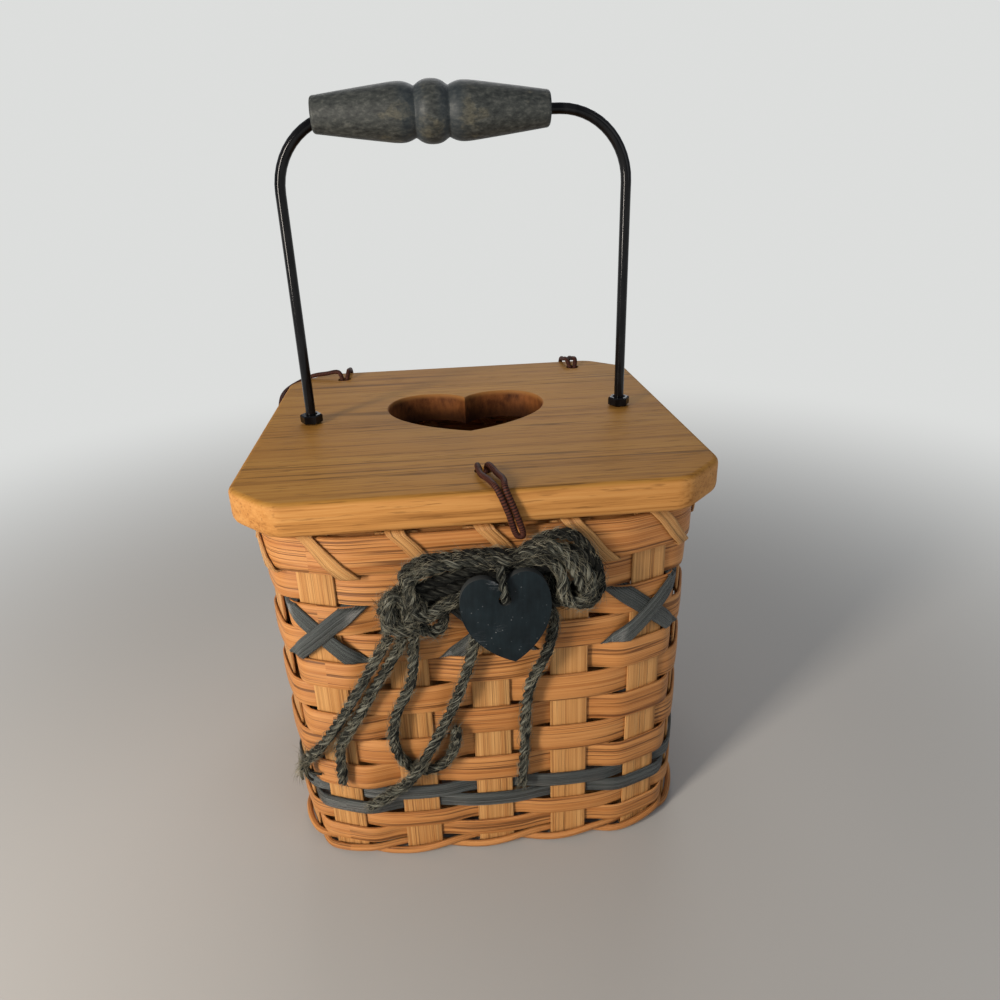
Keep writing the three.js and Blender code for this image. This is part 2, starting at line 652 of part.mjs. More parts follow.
// Turned grip: two barrels swell towards a bead in the middle, with a groove on either side of it.
function turnedGrip() {
  const half = GRIP_LENGTH / 2;
  const bead = GRIP_BEAD_WIDTH / 2;
  const bore = WIRE_DIAMETER / 2 + GRIP_BORE_PLAY;
  const groove = bead + 0.6;
  const swell = groove + 4.2;
  const barrel = new THREE.SplineCurve([
    new THREE.Vector2(GRIP_END_RADIUS, -half + 0.8),
    new THREE.Vector2(THREE.MathUtils.lerp(GRIP_END_RADIUS, GRIP_BARREL_RADIUS, 0.62), -(half + swell) / 2),
    new THREE.Vector2(GRIP_BARREL_RADIUS, -swell),
    new THREE.Vector2((GRIP_BARREL_RADIUS + GRIP_GROOVE_RADIUS) / 2, -groove - 1),
    new THREE.Vector2(GRIP_GROOVE_RADIUS, -groove),
  ]);
  const crown = [30, 60, 90].map((angle) => {
    const turn = THREE.MathUtils.degToRad(angle);
    const rise = (GRIP_BEAD_RADIUS - GRIP_GROOVE_RADIUS) * Math.sin(turn);
    return new THREE.Vector2(GRIP_GROOVE_RADIUS + rise, -bead * Math.cos(turn));
  });
  const mouth = [
    new THREE.Vector2(bore, -half + GRIP_MOUTH_DEPTH),
    new THREE.Vector2(GRIP_MOUTH_RADIUS, -half),
    new THREE.Vector2(GRIP_END_RADIUS - 0.8, -half),
  ];
  const firstHalf = [...mouth, ...barrel.getPoints(8), ...crown];
  const mirror = firstHalf.slice(0, -1).reverse().map((point) => new THREE.Vector2(point.x, -point.y));
  const profile = [...firstHalf, ...mirror, firstHalf[0]];
  const grip = new THREE.LatheGeometry(profile, GRIP_SIDES);
  return grip.rotateZ(-Math.PI / 2).translate(GRIP_SHIFT, 0, GRIP_LEVEL);
}

addPiece('grip', turnedGrip(), gripWood);

// Ties: a doubled cord comes up through the lid from a knot beneath it.

const tieRadius = TIE_CORD / 2;
const onLid = LID_TOP + CLEARANCE + tieRadius;
const besideLid = LID_HALF + CLEARANCE + tieRadius;
const shoulder = (LID_ROUND_OVER + CLEARANCE + tieRadius) * Math.SQRT1_2;
const shoulderReach = LID_HALF - LID_ROUND_OVER + shoulder;
const shoulderLevel = LID_TOP - LID_ROUND_OVER + shoulder;
const cords = (count) => count * TIE_CORD;
const strandSpread = cords(0.41);
const knotLevel = LID_LOW - CLEARANCE - TIE_KNOT / 2;
const tieEndKnot = cords(1.7);
const tieEndLevel = RIM_LOW + 0.4 * RIM_HEIGHT;
const besideRim = (along) => -frontFace(along, LASH_FACE + 2 * CLEARANCE + tieEndKnot / 2);

function knot({ x, y, z }, diameter) {
  return toSolid(new THREE.SphereGeometry(diameter / 2, ROUND_SIDES, 6).translate(x, y, z));
}

function tie(hiddenKnot, strands) {
  const tubes = strands.map((points) => toSolid(cord(points, TIE_CORD, 1.9)));
  const ends = strands.map((points) => knot(points.at(-1), tieEndKnot));
  const solid = [...tubes, ...ends].reduce((sum, piece) => sum.add(piece), knot(hiddenKnot, TIE_KNOT));
  return fromSolid(solid);
}

function frontTie() {
  const { x, y } = tieHoles[0];
  const strand = (side) => [
    new THREE.Vector3(x + side * strandSpread, y, knotLevel),
    new THREE.Vector3(x + side * strandSpread, y, LID_TOP - cords(0.9)),
    new THREE.Vector3(x + cords(side * 0.7 + 0.1), y - cords(1), onLid + cords(0.4)),
    new THREE.Vector3(x + cords(side * 1.2 + 1.1), y - FRONT_TIE_INSET * 0.42, onLid + cords(0.1)),
    new THREE.Vector3(x + cords(side * 1.2 + 2.3), y - FRONT_TIE_INSET * 0.76, onLid + cords(0.2)),
    new THREE.Vector3(x + cords(side * 1.1 + 3.1), -shoulderReach - cords(0.1), shoulderLevel + cords(0.1)),
    new THREE.Vector3(x + cords(side * 0.8 + 3.8), -besideLid - cords(0.1), LID_LOW + LID_THICKNESS * 0.44),
    new THREE.Vector3(x + cords(side * 0.4 + 4.4), -besideLid - cords(0.2), LID_LOW - cords(1.2)),
  ];
  return tie(new THREE.Vector3(x, y, knotLevel), [strand(-1), strand(1)]);
}

addPiece('front_tie', frontTie(), tieCord);

const backKnotGap = BACK_KNOT_GAP + TIE_KNOT / 2;
const hiddenBackKnot = ({ x }) => new THREE.Vector3(x, insideBackRim(x, backKnotGap), knotLevel);

// Start of a strand of a back tie, from its knot inside the rim to the top of the lid.
function backStart(hole, side) {
  const x = hole.x + side * strandSpread;
  return [
    new THREE.Vector3(x, hiddenBackKnot(hole).y, knotLevel),
    new THREE.Vector3(x, THREE.MathUtils.lerp(hole.y, hiddenBackKnot(hole).y, 0.2), LID_LOW + cords(0.45)),
    new THREE.Vector3(x, hole.y, LID_TOP - cords(0.9)),
  ];
}

function overBackEdge(hole, side, drift) {
  const x = hole.x + cords(side * 0.86);
  const nearEdge = THREE.MathUtils.lerp(hole.y, LID_HALF, 0.58);
  return [
    ...backStart(hole, side),
    new THREE.Vector3(x + cords(drift * 0.2), hole.y + cords(0.9), onLid + cords(0.7)),
    new THREE.Vector3(x + cords(drift * 0.6), nearEdge, onLid + cords(0.4)),
    new THREE.Vector3(x + cords(drift * 0.8), shoulderReach + cords(0.1), shoulderLevel + cords(0.1)),
    new THREE.Vector3(x + cords(drift * 0.9), besideLid + cords(0.1), LID_LOW + cords(1.4)),
    new THREE.Vector3(x + cords(drift), besideRim(x + cords(drift)), tieEndLevel),
  ];
}

// Strand over the clipped corner of the lid. Places by the clip are measured out of it and along it.
function roundLeftCorner(hole) {
  const clipX = LID_CLIP / 2 - LID_HALF;
  const clipY = LID_HALF - LID_CLIP / 2;
  const byClip = (out, along, z) => {
    const x = clipX - (out + along) * Math.SQRT1_2;
    return new THREE.Vector3(x, clipY + (out - along) * Math.SQRT1_2, z);
  };
  const overClip = byClip(cords(0.32), -cords(0.5), onLid + cords(0.1));
  const clipEnd = LID_HALF - LID_CLIP;
  const endY = clipEnd - cords(7.45);
  return [
    ...backStart(hole, -1),
    new THREE.Vector3(hole.x - cords(1.1), hole.y + cords(1), onLid + cords(0.64)),
    new THREE.Vector3((hole.x + overClip.x) / 2, (hole.y + overClip.y) / 2 + cords(1.1), onLid + cords(0.55)),
    overClip,
    byClip(cords(1), LID_CLIP * 0.32, LID_TOP - LID_THICKNESS * 0.26),
    new THREE.Vector3(-besideLid - cords(0.01), clipEnd - cords(0.64), LID_LOW + LID_THICKNESS * 0.44),
    new THREE.Vector3(-besideLid - cords(0.2), clipEnd - cords(4.7), LID_LOW + LID_THICKNESS * 0.14),
    new THREE.Vector3(-besideRim(endY), endY, tieEndLevel),
  ];
}

const [, leftHole, rightHole] = tieHoles;
const leftStrands = [overBackEdge(leftHole, 1, 0), roundLeftCorner(leftHole)];
const rightStrands = [overBackEdge(rightHole, -1, -0.73), overBackEdge(rightHole, 1, -0.73)];
addPiece('back_left_tie', tie(hiddenBackKnot(leftHole), leftStrands), tieCord);
addPiece('back_right_tie', tie(hiddenBackKnot(rightHole), rightStrands), tieCord);

// Bow: one twine wound in loops that spiral in, climb a layer and spiral out again.

const bowDepth = -frontFace(0, Math.max(LASH_FACE, CROSS_FACE) + CLEARANCE + BOW_TWINE / 2);
const bowFront = bowDepth + BOW_LOOP_STEP + BOW_TWINE / 2;

// Height of the bow's upper run (side 1) or lower run (side -1), a share of the way from left to right.
function bowRun(across, side) {
  const between = (key) => THREE.MathUtils.lerp(BOW_LEFT[key], BOW_RIGHT[key], across);
  const waist = Math.sin(Math.PI * across) ** 2;
  const reach = between('radius') - BOW_WAIST_PINCH * waist;
  return RIM_TOP - between('drop') + BOW_WAIST_LIFT * waist + side * reach;
}

// Outer loop of the bow in the XZ plane: round the left end, along below, round the right end, back above.
function bowOutline(turn) {
  const capShare = 7 / LOOP_STEPS;
  const around = THREE.MathUtils.euclideanModulo(turn + capShare / 2, 1);
  const half = around % 0.5;
  const returning = around >= 0.5;
  if (half < capShare) {
    const { x, drop, radius } = returning ? BOW_RIGHT : BOW_LEFT;
    const swing = (Math.PI * half) / capShare + (returning ? -Math.PI / 2 : Math.PI / 2);
    return new THREE.Vector2(x + radius * Math.cos(swing), RIM_TOP - drop + radius * Math.sin(swing));
  }
  const run = (half - capShare) / (0.5 - capShare);
  const across = returning ? 1 - run : run;
  const x = THREE.MathUtils.lerp(BOW_LEFT.x, BOW_RIGHT.x, across);
  return new THREE.Vector2(x, bowRun(across, returning ? 1 : -1));
}

function bowPoint(turn) {
  const middle = BOW_LOOPS / 2;
  const inward = BOW_LOOP_STEP * (middle - Math.abs(turn - middle));
  const climb = BOW_LOOP_STEP * THREE.MathUtils.smoothstep(turn, middle - 0.25, middle + 0.25);
  const along = bowOutline(turn + 0.01).sub(bowOutline(turn - 0.01)).normalize();
  const point = bowOutline(turn).add(new THREE.Vector2(-along.y, along.x).multiplyScalar(inward));
  return new THREE.Vector3(point.x, -bowDepth - climb, point.y);
}

// Least distance between the twine's surface and itself, past the stretch that is simply its neighbour.
function leastSelfGap(points, diameter) {
  const skip = Math.round(LOOP_STEPS / 4);
  let least = Infinity;
  for (let i = 0; i < points.length; i += 1) {
    for (let j = i + skip; j < points.length - 1; j += 1) {
      const line = new THREE.Line3(points[j], points[j + 1]);
      const nearest = line.closestPointToPoint(points[i], true, new THREE.Vector3());
      least = Math.min(least, nearest.distanceTo(points[i]) - diameter);
    }
  }
  return least;
}

const bowSteps = BOW_LOOPS * LOOP_STEPS;
const bowPath = Array.from({ length: bowSteps + 1 }, (_, i) => bowPoint((BOW_LOOPS * i) / bowSteps));
console.log(`Bow twine: least gap to itself ${leastSelfGap(bowPath, BOW_TWINE).toFixed(2)} mm`);
addPiece('bow_loops', loft(tubeRings(bowPath, BOW_TWINE / 2, TWINE_SIDES, false), false), bowTwine);

// Tails: [x, drop, lift] down the front. The drop is measured from the bow's lower run over the tail's start,
// and the lift outwards from twine lying on the weave.
const onWeave = WEAVE_FACE + CLEARANCE + BOW_TWINE / 2;
const fromBow = bowDepth + BOW_LOOP_STEP / 2 - WALL_HALF - onWeave;
const overCross = CROSS_FACE - WEAVE_FACE;
const overTail = BOW_TWINE + 3 * CLEARANCE;

function bowUnder(x) {
  const across = (x - BOW_LEFT.x) / (BOW_RIGHT.x - BOW_LEFT.x);
  return bowRun(THREE.MathUtils.clamp(across, 0, 1), -1);
}

const tailRoutes = {
  bow_tail_1: [
    [-31, 2.8, fromBow], [-33.6, 7.8, 3], [-41.5, 22.2, 1.6], [-51.6, 39.8, 0.6], [-60, 52.2, 0.8],
    [-64.5, 57.2, 1.2], [-65.8, 61, 1.4],
  ],
  bow_tail_2: [
    [-27.2, 3.4, fromBow], [-28.6, 8.2, 2.8], [-36.6, 22.4, 0.8], [-43.6, 35.2, 0.2],
    [-49.4, 44.8, 0.2], [-51.6, 50.8, 0.2], [-52.2, 64.4, 0.2],
  ],
  bow_tail_3: [
    [-23.4, 3.3, fromBow], [-24, 8.9, 2.8], [-25.6, 22.5, 0.5], [-31.4, 35.2, 0.1],
    [-33.2, 45.1, 0.1], [-31.8, 53.3, 0.1], [-28, 57.9, 0.1], [-22.3, 59.7, 0.1],
    [-16.4, 56.7, 0.1], [-13, 49.9, 0.1], [-12.2, 43.3, 0.1],
  ],
  bow_tail_4: [
    [-1.6, 3.6, fromBow], [-2.8, 8.6, overCross + 0.8], [-4.9, 17.9, overCross], [-9.5, 33.6, 1.4],
    [-14.8, 46.6, 0.6], [-20.6, 57.6, 1.4], [-27.6, 67.4, overTail], [-34, 75.4, 1.2],
    [-43.8, 83.6, 0.2],
  ],
  bow_tail_5: [
    [18.8, 1, fromBow], [20.2, 8, 2.4], [17.7, 19.6, overCross], [12.9, 30.8, 1], [11, 45.2, -0.3],
    [10.6, 55.6, -0.3], [9.4, 75.2, -0.3],
  ],
};

for (const [name, route] of Object.entries(tailRoutes)) {
  const top = bowUnder(route[0][0]);
  const points = route.map(([x, drop, lift]) => {
    return new THREE.Vector3(x, frontFace(x, onWeave + lift), top - drop);
  });
  addPiece(name, cord(points, BOW_TWINE), bowTwine);
}

// Heart tag and the string that holds it

const tagBack = bowFront + CLEARANCE;
const tagFront = tagBack + TAG_THICKNESS;
const tagKnot = bowPoint(BOW_LOOPS - 0.25).z;
const tagHole = tagKnot - TAG_HANG.drop;

function heartTag() {
  const outline = heartShape(TAG_WIDTH, TAG_HEIGHT);
  const centre = TAG_HEIGHT - TAG_HOLE_DROP;
  outline.holes.push(new THREE.Path().absarc(0, centre, TAG_HOLE / 2, 0, 2 * Math.PI));
  const depth = TAG_THICKNESS;
  const tag = new THREE.ExtrudeGeometry(outline, { depth, bevelEnabled: false, curveSegments: 6 });
  tag.translate(0, -centre, 0).rotateZ(THREE.MathUtils.degToRad(TAG_TILT)).rotateX(Math.PI / 2);
  return tag.translate(TAG_HANG.x, -tagBack, tagHole);
}

addPiece('heart_tag', heartTag(), tagWood);

function tagString() {
  const radius = TAG_STRING / 2;
  const front = tagFront + CLEARANCE + radius;
  return cord([
    new THREE.Vector3(TAG_HANG.x - 1, -bowFront - CLEARANCE - radius, tagKnot + 0.6),
    new THREE.Vector3(TAG_HANG.x - 0.8, -front + 0.6, tagKnot - 2.6),
    new THREE.Vector3(TAG_HANG.x - 0.3, -front - 0.4, tagHole + 3.8),
    new THREE.Vector3(TAG_HANG.x, -front + 0.5, tagHole + 0.7),
    new THREE.Vector3(TAG_HANG.x, -tagBack - 0.5, tagHole),
  ], TAG_STRING, 1.2);
}

addPiece('tag_string', tagString(), bowTwine);

export default basket;
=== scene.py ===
"""Woven tissue basket: reed, board lid, wire bail, twine bow and heart tag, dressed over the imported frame."""

import math

import bpy
import numpy as np
from mathutils import Matrix, Vector


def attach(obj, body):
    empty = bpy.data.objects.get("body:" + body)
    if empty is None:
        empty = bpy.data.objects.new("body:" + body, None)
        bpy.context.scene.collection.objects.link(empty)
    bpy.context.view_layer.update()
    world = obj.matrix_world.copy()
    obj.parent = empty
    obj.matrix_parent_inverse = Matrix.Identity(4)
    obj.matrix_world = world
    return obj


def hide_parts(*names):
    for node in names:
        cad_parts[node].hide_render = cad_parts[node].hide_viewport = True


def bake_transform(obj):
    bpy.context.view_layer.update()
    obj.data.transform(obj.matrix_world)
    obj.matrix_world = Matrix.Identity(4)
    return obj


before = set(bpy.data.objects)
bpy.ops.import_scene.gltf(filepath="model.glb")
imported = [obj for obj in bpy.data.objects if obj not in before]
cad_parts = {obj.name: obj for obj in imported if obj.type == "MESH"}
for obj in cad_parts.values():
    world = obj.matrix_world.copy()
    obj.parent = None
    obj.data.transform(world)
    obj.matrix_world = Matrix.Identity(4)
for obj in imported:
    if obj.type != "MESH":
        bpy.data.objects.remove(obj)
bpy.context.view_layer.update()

# Sizes of the dressed basket, in millimetres
MM = 0.001
CLEAR = 0.3
WALL_HALF = 71.4
SQUARENESS = 4.8
PITCH = 26.2
STAKE_WIDTH = 12.8
STAKE_THICK = 0.9
REED_THICK = 0.8
WEAVE_FACE = 1.85
WIDE = 9.85
NARROW = 6.2
DYED = 5.1
ROW_GAP = 0.7
FIRST_ROW = 6.4
UNDER_RIM = 1.1
FOOT_LEVEL = 2.8
RIM_LOW = 117.1
RIM_TOP = 129.9
RIM_THICK = 2.0
RIM_OFFSET = 1.85
LID_LOW = 131.4
LID_TOP = 142.8
LID_HALF = 76.0
GRIP_LEVEL = 245.1
BAIL_HALF = 58.2
TWINE = 3.1
CORD = 2.2
TIE_HOLES = {"front": (1.4, -59.5), "left": (-52, 63), "right": (52, 63)}

rng = np.random.default_rng(7)


# Paths and curves

OFF_AXIS = (0.13, 0.92, 0.37)


def unit(vectors):
    return vectors / np.linalg.norm(vectors, axis=-1, keepdims=True)


def spans(points):
    """Distances from each point of a path to the next."""
    return np.linalg.norm(np.diff(points, axis=0), axis=1)


def path_run(points):
    """Distances from the start of a path to each of its points."""
    return np.concatenate([[0], np.cumsum(spans(points))])


def path_frame(path):
    """Directions ahead, aside and up at each point of a path, carried along it without twist."""
    ahead = unit(np.gradient(path, axis=0))
    side = np.zeros_like(ahead)
    side[0] = np.cross(ahead[0], OFF_AXIS)
    for i, way in enumerate(ahead):
        kept = side[max(i - 1, 0)]
        side[i] = unit(kept - way * kept.dot(way))
    return ahead, side, np.cross(ahead, side)


def spun(side, rise, turn):
    """Directions turned from one way towards another."""
    return side * np.cos(turn)[..., None] + rise * np.sin(turn)[..., None]


def smooth(values, steps):
    """Catmull-Rom through rows of values, with a number of steps in each span."""
    v = np.asarray(values, float)
    v = np.concatenate([2 * v[:1] - v[1:2], v, 2 * v[-1:] - v[-2:-1]])
    t = np.linspace(0, 1, steps, endpoint=False)[:, None]
    curves = []
    for a, b, c, d in zip(v, v[1:], v[2:], v[3:]):
        curves.append(b + 0.5 * t * (c - a + t * (2 * a - 5 * b + 4 * c - d + t * (3 * (b - c) + d - a))))
    return np.concatenate([*curves, v[-2:-1]])


def bezier(t, a, b, c, d):
    return (1 - t) ** 3 * a + 3 * (1 - t) ** 2 * t * b + 3 * (1 - t) * t**2 * c + t**3 * d


def ease(value, low, span):
    """0 up to low, 1 a span further on, and smooth between."""
    t = np.clip((value - low) / span, 0, 1)
    return t * t * (3 - 2 * t)


def wander(count, waves, size):
    """A smooth random drift that closes on itself."""
    angle = np.linspace(0, 2 * np.pi, count)
    drift = sum(np.sin(k * angle + rng.uniform(0, 6.3)) * rng.normal() for k in range(2, waves))
    return size * drift / math.sqrt(waves)


# Plan of the wall

QUARTER_TURN = np.array([[0, 1], [-1, 0]])


def front_face(x, standoff=0.0):
    reach = WALL_HALF + standoff
    return -((reach**SQUARENESS - np.abs(x) ** SQUARENESS) ** (1 / SQUARENESS))


def stake_places():
    """Middles of the stakes all round the wall, and the ways that they face."""
    x = np.arange(-2, 3) * PITCH
    place = np.stack([x, front_face(x)], 1)
    out = unit(np.sign(place) * np.abs(place) ** (SQUARENESS - 1))
    turns = [np.linalg.matrix_power(QUARTER_TURN, quarter) for quarter in range(4)]
    return (np.concatenate([v @ turn for turn in turns]) for v in (place, out))


STAKES, OUTWARD = stake_places()
ALONG = np.stack([-OUTWARD[:, 1], OUTWARD[:, 0]], 1)
COUNT = len(STAKES)
FLAT = (STAKE_WIDTH / 2 + CLEAR) / PITCH


def wall(slot, offset, height):
    """Points of the wall in metres, from a stake slot, a distance out of its middle and a height."""
    slot, offset, height = np.broadcast_arrays(np.asarray(slot, float), offset, height)
    nearest = np.round(slot)
    here = nearest.astype(int) % COUNT
    plan = STAKES[here] + ALONG[here] * ((slot - nearest) * PITCH)[..., None]
    before = np.floor(slot).astype(int) % COUNT
    after = (before + 1) % COUNT
    start = STAKES[before] + ALONG[before] * FLAT * PITCH
    end = STAKES[after] - ALONG[after] * FLAT * PITCH
    reach = np.linalg.norm(end - start, axis=-1, keepdims=True) / 3
    leave, arrive = start + ALONG[before] * reach, end - ALONG[after] * reach
    t = np.clip((slot - np.floor(slot) - FLAT) / (1 - 2 * FLAT), 0, 1)[..., None]
    way = unit((1 - t) ** 2 * (leave - start) + 2 * (1 - t) * t * (arrive - leave) + t**2 * (end - arrive))
    flat = (np.abs(slot - nearest) <= FLAT)[..., None]
    plan = np.where(flat, plan, bezier(t, start, leave, arrive, end))
    out = np.where(flat, OUTWARD[here], np.stack([way[..., 1], -way[..., 0]], -1))
    plan = plan + out * offset[..., None]
    return np.concatenate([plan, height[..., None]], -1) * MM


# Pieces

def dress(piece, material, slot, *nodes):
    """Gives a piece its one material and hides the solids that it stands for. The slot is not used."""
    piece.data.materials.clear()
    piece.data.materials.append(material)
    if nodes:
        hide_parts(*nodes)


def finish_piece(piece, body, material, slot, *nodes):
    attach(piece, body)
    dress(piece, material, slot, *nodes)
    return piece


def second_material(piece, material, wanted):
    """Gives another material to the faces that satisfy a test."""
    piece.data.materials.append(material)
    for face in piece.data.polygons:
        if wanted(face):
            face.material_index = 1


def select(*pieces):
    """Selects just these pieces, with the first one active, or nothing at all."""
    bpy.ops.object.select_all(action="DESELECT")
    for piece in pieces:
        piece.select_set(True)
    if pieces:
        bpy.context.view_layer.objects.active = pieces[0]


def select_mesh(action="SELECT"):
    bpy.ops.mesh.select_all(action=action)


def face_outwards():
    bpy.ops.mesh.normals_make_consistent(inside=False)


def edit(piece, *steps):
    """Runs edit-mode operators on all of one piece."""
    select(piece)
    bpy.ops.object.mode_set(mode="EDIT")
    select_mesh()
    for step in steps:
        step()
    bpy.ops.object.mode_set(mode="OBJECT")


def smooth_by_angle(piece, degrees):
    select(piece)
    bpy.ops.object.shade_smooth_by_angle(angle=math.radians(degrees))


def joined(name, pieces):
    select(*pieces)
    bpy.ops.object.join()
    pieces[0].name = pieces[0].data.name = name
    return pieces[0]


def from_faces(name, points, faces):
    """A new piece from its points in metres and its faces."""
    mesh = bpy.data.meshes.new(name)
    mesh.from_pydata(points, [], faces)
    piece = bpy.data.objects.new(name, mesh)
    bpy.context.scene.collection.objects.link(piece)
    return piece


def skin(name, points, uv):
    """A grid primitive pulled onto columns x rows of points, merged where it closes on itself."""
    columns, rows = points.shape[:2]
    select()
    bpy.ops.mesh.primitive_grid_add(x_subdivisions=columns - 1, y_subdivisions=rows - 1, size=1)
    piece = bpy.context.object
    piece.name = piece.data.name = name
    piece.data.vertices.foreach_set("co", points.transpose(1, 0, 2).astype(np.float32).ravel())
    layer = piece.data.uv_layers[0].data
    flat = np.zeros(len(layer) * 2, np.float32)
    layer.foreach_get("uv", flat)
    flat = flat.reshape(-1, 2) * uv[2:] + uv[:2]
    layer.foreach_set("uv", flat.astype(np.float32).ravel())
    edit(piece, lambda: bpy.ops.mesh.remove_doubles(threshold=2e-6), face_outwards)
    piece.data.shade_smooth()
    return piece


def skin_length(points):
    """Length in millimetres of the first edge of a skin."""
    return spans(points[:, 0]).sum() / MM


def uv_seed():
    """A random place on the pattern, so that no two reeds look the same."""
    return rng.uniform(0, 900, 2)


def reed_section(width, thick, crown=0.16, across=6):
    """Section of a split reed, as distances across and out: flat behind, crowned, with soft edges."""
    half, deep = width / 2, thick / 2
    soft = min(0.38, deep * 0.75)
    face = np.linspace(-half + soft, half - soft, across)
    front = np.stack([face, deep + crown * (1 - (face / half) ** 2)], 1)
    back = np.stack([face[::-1], np.full(across, -deep)], 1)
    edge = np.radians([60, 0, -60])
    right = np.stack([half - soft + soft * np.cos(edge), deep * np.sin(edge) * 0.9], 1)
    left = right[::-1] * (-1, 1)
    return np.concatenate([front, right, back, left, front[:1]])


ROUND_END = np.array([[0.45], [0.3]])
END_RADIUS = 0.7


def tube(name, centre, radius, sides, uv_start=0.0):
    """A round tube with rounded ends along points in metres."""
    ahead, side, rise = path_frame(centre)
    radius = np.broadcast_to(radius, len(centre)).astype(float)
    centre, side, rise = (np.pad(v, ((2, 2), (0, 0)), "edge") for v in (centre, side, rise))
    centre[:2] -= ahead[0] * radius[0] * ROUND_END
    centre[-2:] += ahead[-1] * radius[-1] * ROUND_END[::-1]
    radius = np.concatenate([[0, radius[0] * END_RADIUS], radius, [radius[-1] * END_RADIUS, 0]])
    turn = np.linspace(0, 2 * np.pi, sides + 1)
    points = centre[:, None] + spun(side[:, None], rise[:, None], turn[None]) * radius[:, None, None]
    return skin(name, points, (uv_start, 0, spans(centre).sum() / MM, 2 * np.pi * radius.max() / MM))


# Finishes

class Signal:
    """A shader value. Arithmetic on it adds Math nodes."""

    def __init__(self, nodes, socket):
        self.nodes = nodes
        self.socket = socket

    def math(self, operation, *inputs):
        return self.nodes.node("ShaderNodeMath", {"operation": operation}, inputs)

    def __add__(self, other):
        return self.math("ADD", self, other)

    def __sub__(self, other):
        return self.math("SUBTRACT", self, other)

    def __rsub__(self, other):
        return self.math("SUBTRACT", other, self)

    def __mul__(self, other):
        return self.math("MULTIPLY", self, other)

    __radd__ = __add__
    __rmul__ = __mul__

    def above(self, low, high):
        """0 under low, 1 over high, and smooth between."""
        values = {"Value": self, "From Min": low, "From Max": high}
        return self.nodes.node("ShaderNodeMapRange", {"interpolation_type": "SMOOTHSTEP"}, values)

    def near(self, level, width):
        """1 at a level, falling to 0 a width away from it: thin lines along the contours of a noise."""
        away = self - level
        return 1 - away.math("ABSOLUTE", away).above(width * 0.3, width)


class Nodes:
    """A node tree, and the one way in which nodes are added to it."""

    def __init__(self, tree):
        self.tree = tree

    def node(self, kind, settings, inputs, output=0):
        made = self.tree.nodes.new(kind)
        for key, value in settings.items():
            if key == "stops":
                self.set_stops(made.color_ramp, value)
            else:
                setattr(made, key, value)
        pairs = inputs.items() if isinstance(inputs, dict) else enumerate(inputs)
        for key, value in pairs:
            self.feed(made.inputs[key], value)
        return Signal(self, made.outputs[output])

    def set_stops(self, ramp, stops):
        while len(ramp.elements) < len(stops):
            ramp.elements.new(1)
        for element, (place, colour) in zip(ramp.elements, stops):
            element.position = place
            element.color = (*colour, 1)

    def feed(self, socket, value):
        if isinstance(value, Signal):
            self.tree.links.new(value.socket, socket)
        elif socket.type == "RGBA" and len(value) == 3:
            socket.default_value = (*value, 1)
        else:
            socket.default_value = value


class Finish(Nodes):
    """One procedural material."""

    def __init__(self, name, specular, roughness=0.6):
        self.material = bpy.data.materials.new(name)
        self.material.use_nodes = True
        super().__init__(self.material.node_tree)
        self.shader = self.tree.nodes["Principled BSDF"]
        self.feed(self.shader.inputs["Specular IOR Level"], specular)
        self.feed(self.shader.inputs["Roughness"], roughness)

    def where(self, kind="Object"):
        return self.node("ShaderNodeTexCoord", {}, {}, kind)

    def axis(self, letter):
        """Place along one axis of the frame, in metres."""
        return self.node("ShaderNodeSeparateXYZ", {}, [self.where()], letter)

    def length(self, vector):
        return self.node("ShaderNodeVectorMath", {"operation": "LENGTH"}, [vector], "Value")

    def place(self, kind, scale, shift=(0, 0, 0), turn=(0, 0, 0)):
        """Coordinates, kind Object or UV, stretched so that one unit is the size of the pattern."""
        values = {"Vector": self.where(kind), "Location": shift, "Rotation": turn, "Scale": scale}
        return self.node("ShaderNodeMapping", {}, values)

    def noise(self, kind, scale, detail=2.0, roughness=0.5, shift=(0, 0, 0), turn=(0, 0, 0), distortion=0.0):
        values = {"Vector": self.place(kind, scale, shift, turn), "Scale": 1.0, "Detail": detail,
                  "Roughness": roughness, "Distortion": distortion}
        return self.node("ShaderNodeTexNoise", {}, values)

    def waves(self, direction, scale, density, distortion):
        """Bands across one direction of the UV map."""
        settings = {"wave_type": "BANDS", "bands_direction": direction}
        values = {"Vector": self.place("UV", scale), "Scale": density, "Distortion": distortion,
                  "Detail": 1.0}
        return self.node("ShaderNodeTexWave", settings, values)

    def ramp(self, value, *stops):
        return self.node("ShaderNodeValToRGB", {"stops": stops}, {"Fac": value})

    def mix(self, share, first, second, blend="MIX"):
        """Two colours, at sockets 6 and 7 of the node, mixed by a share."""
        settings = {"data_type": "RGBA", "blend_type": blend, "clamp_factor": True}
        return self.node("ShaderNodeMix", settings, {0: share, 6: first, 7: second}, 2)

    def wear(self, colour, roughness=None, height=None, depth=0.0003, strength=0.6):
        """Sets the shader's colour, roughness and bump, and gives the material."""
        self.feed(self.shader.inputs["Base Color"], colour)
        if roughness is not None:
            self.feed(self.shader.inputs["Roughness"], roughness)
        if height is not None:
            values = {"Height": height, "Distance": depth, "Strength": strength}
            self.feed(self.shader.inputs["Normal"], self.node("ShaderNodeBump", {}, values))
        return self.material


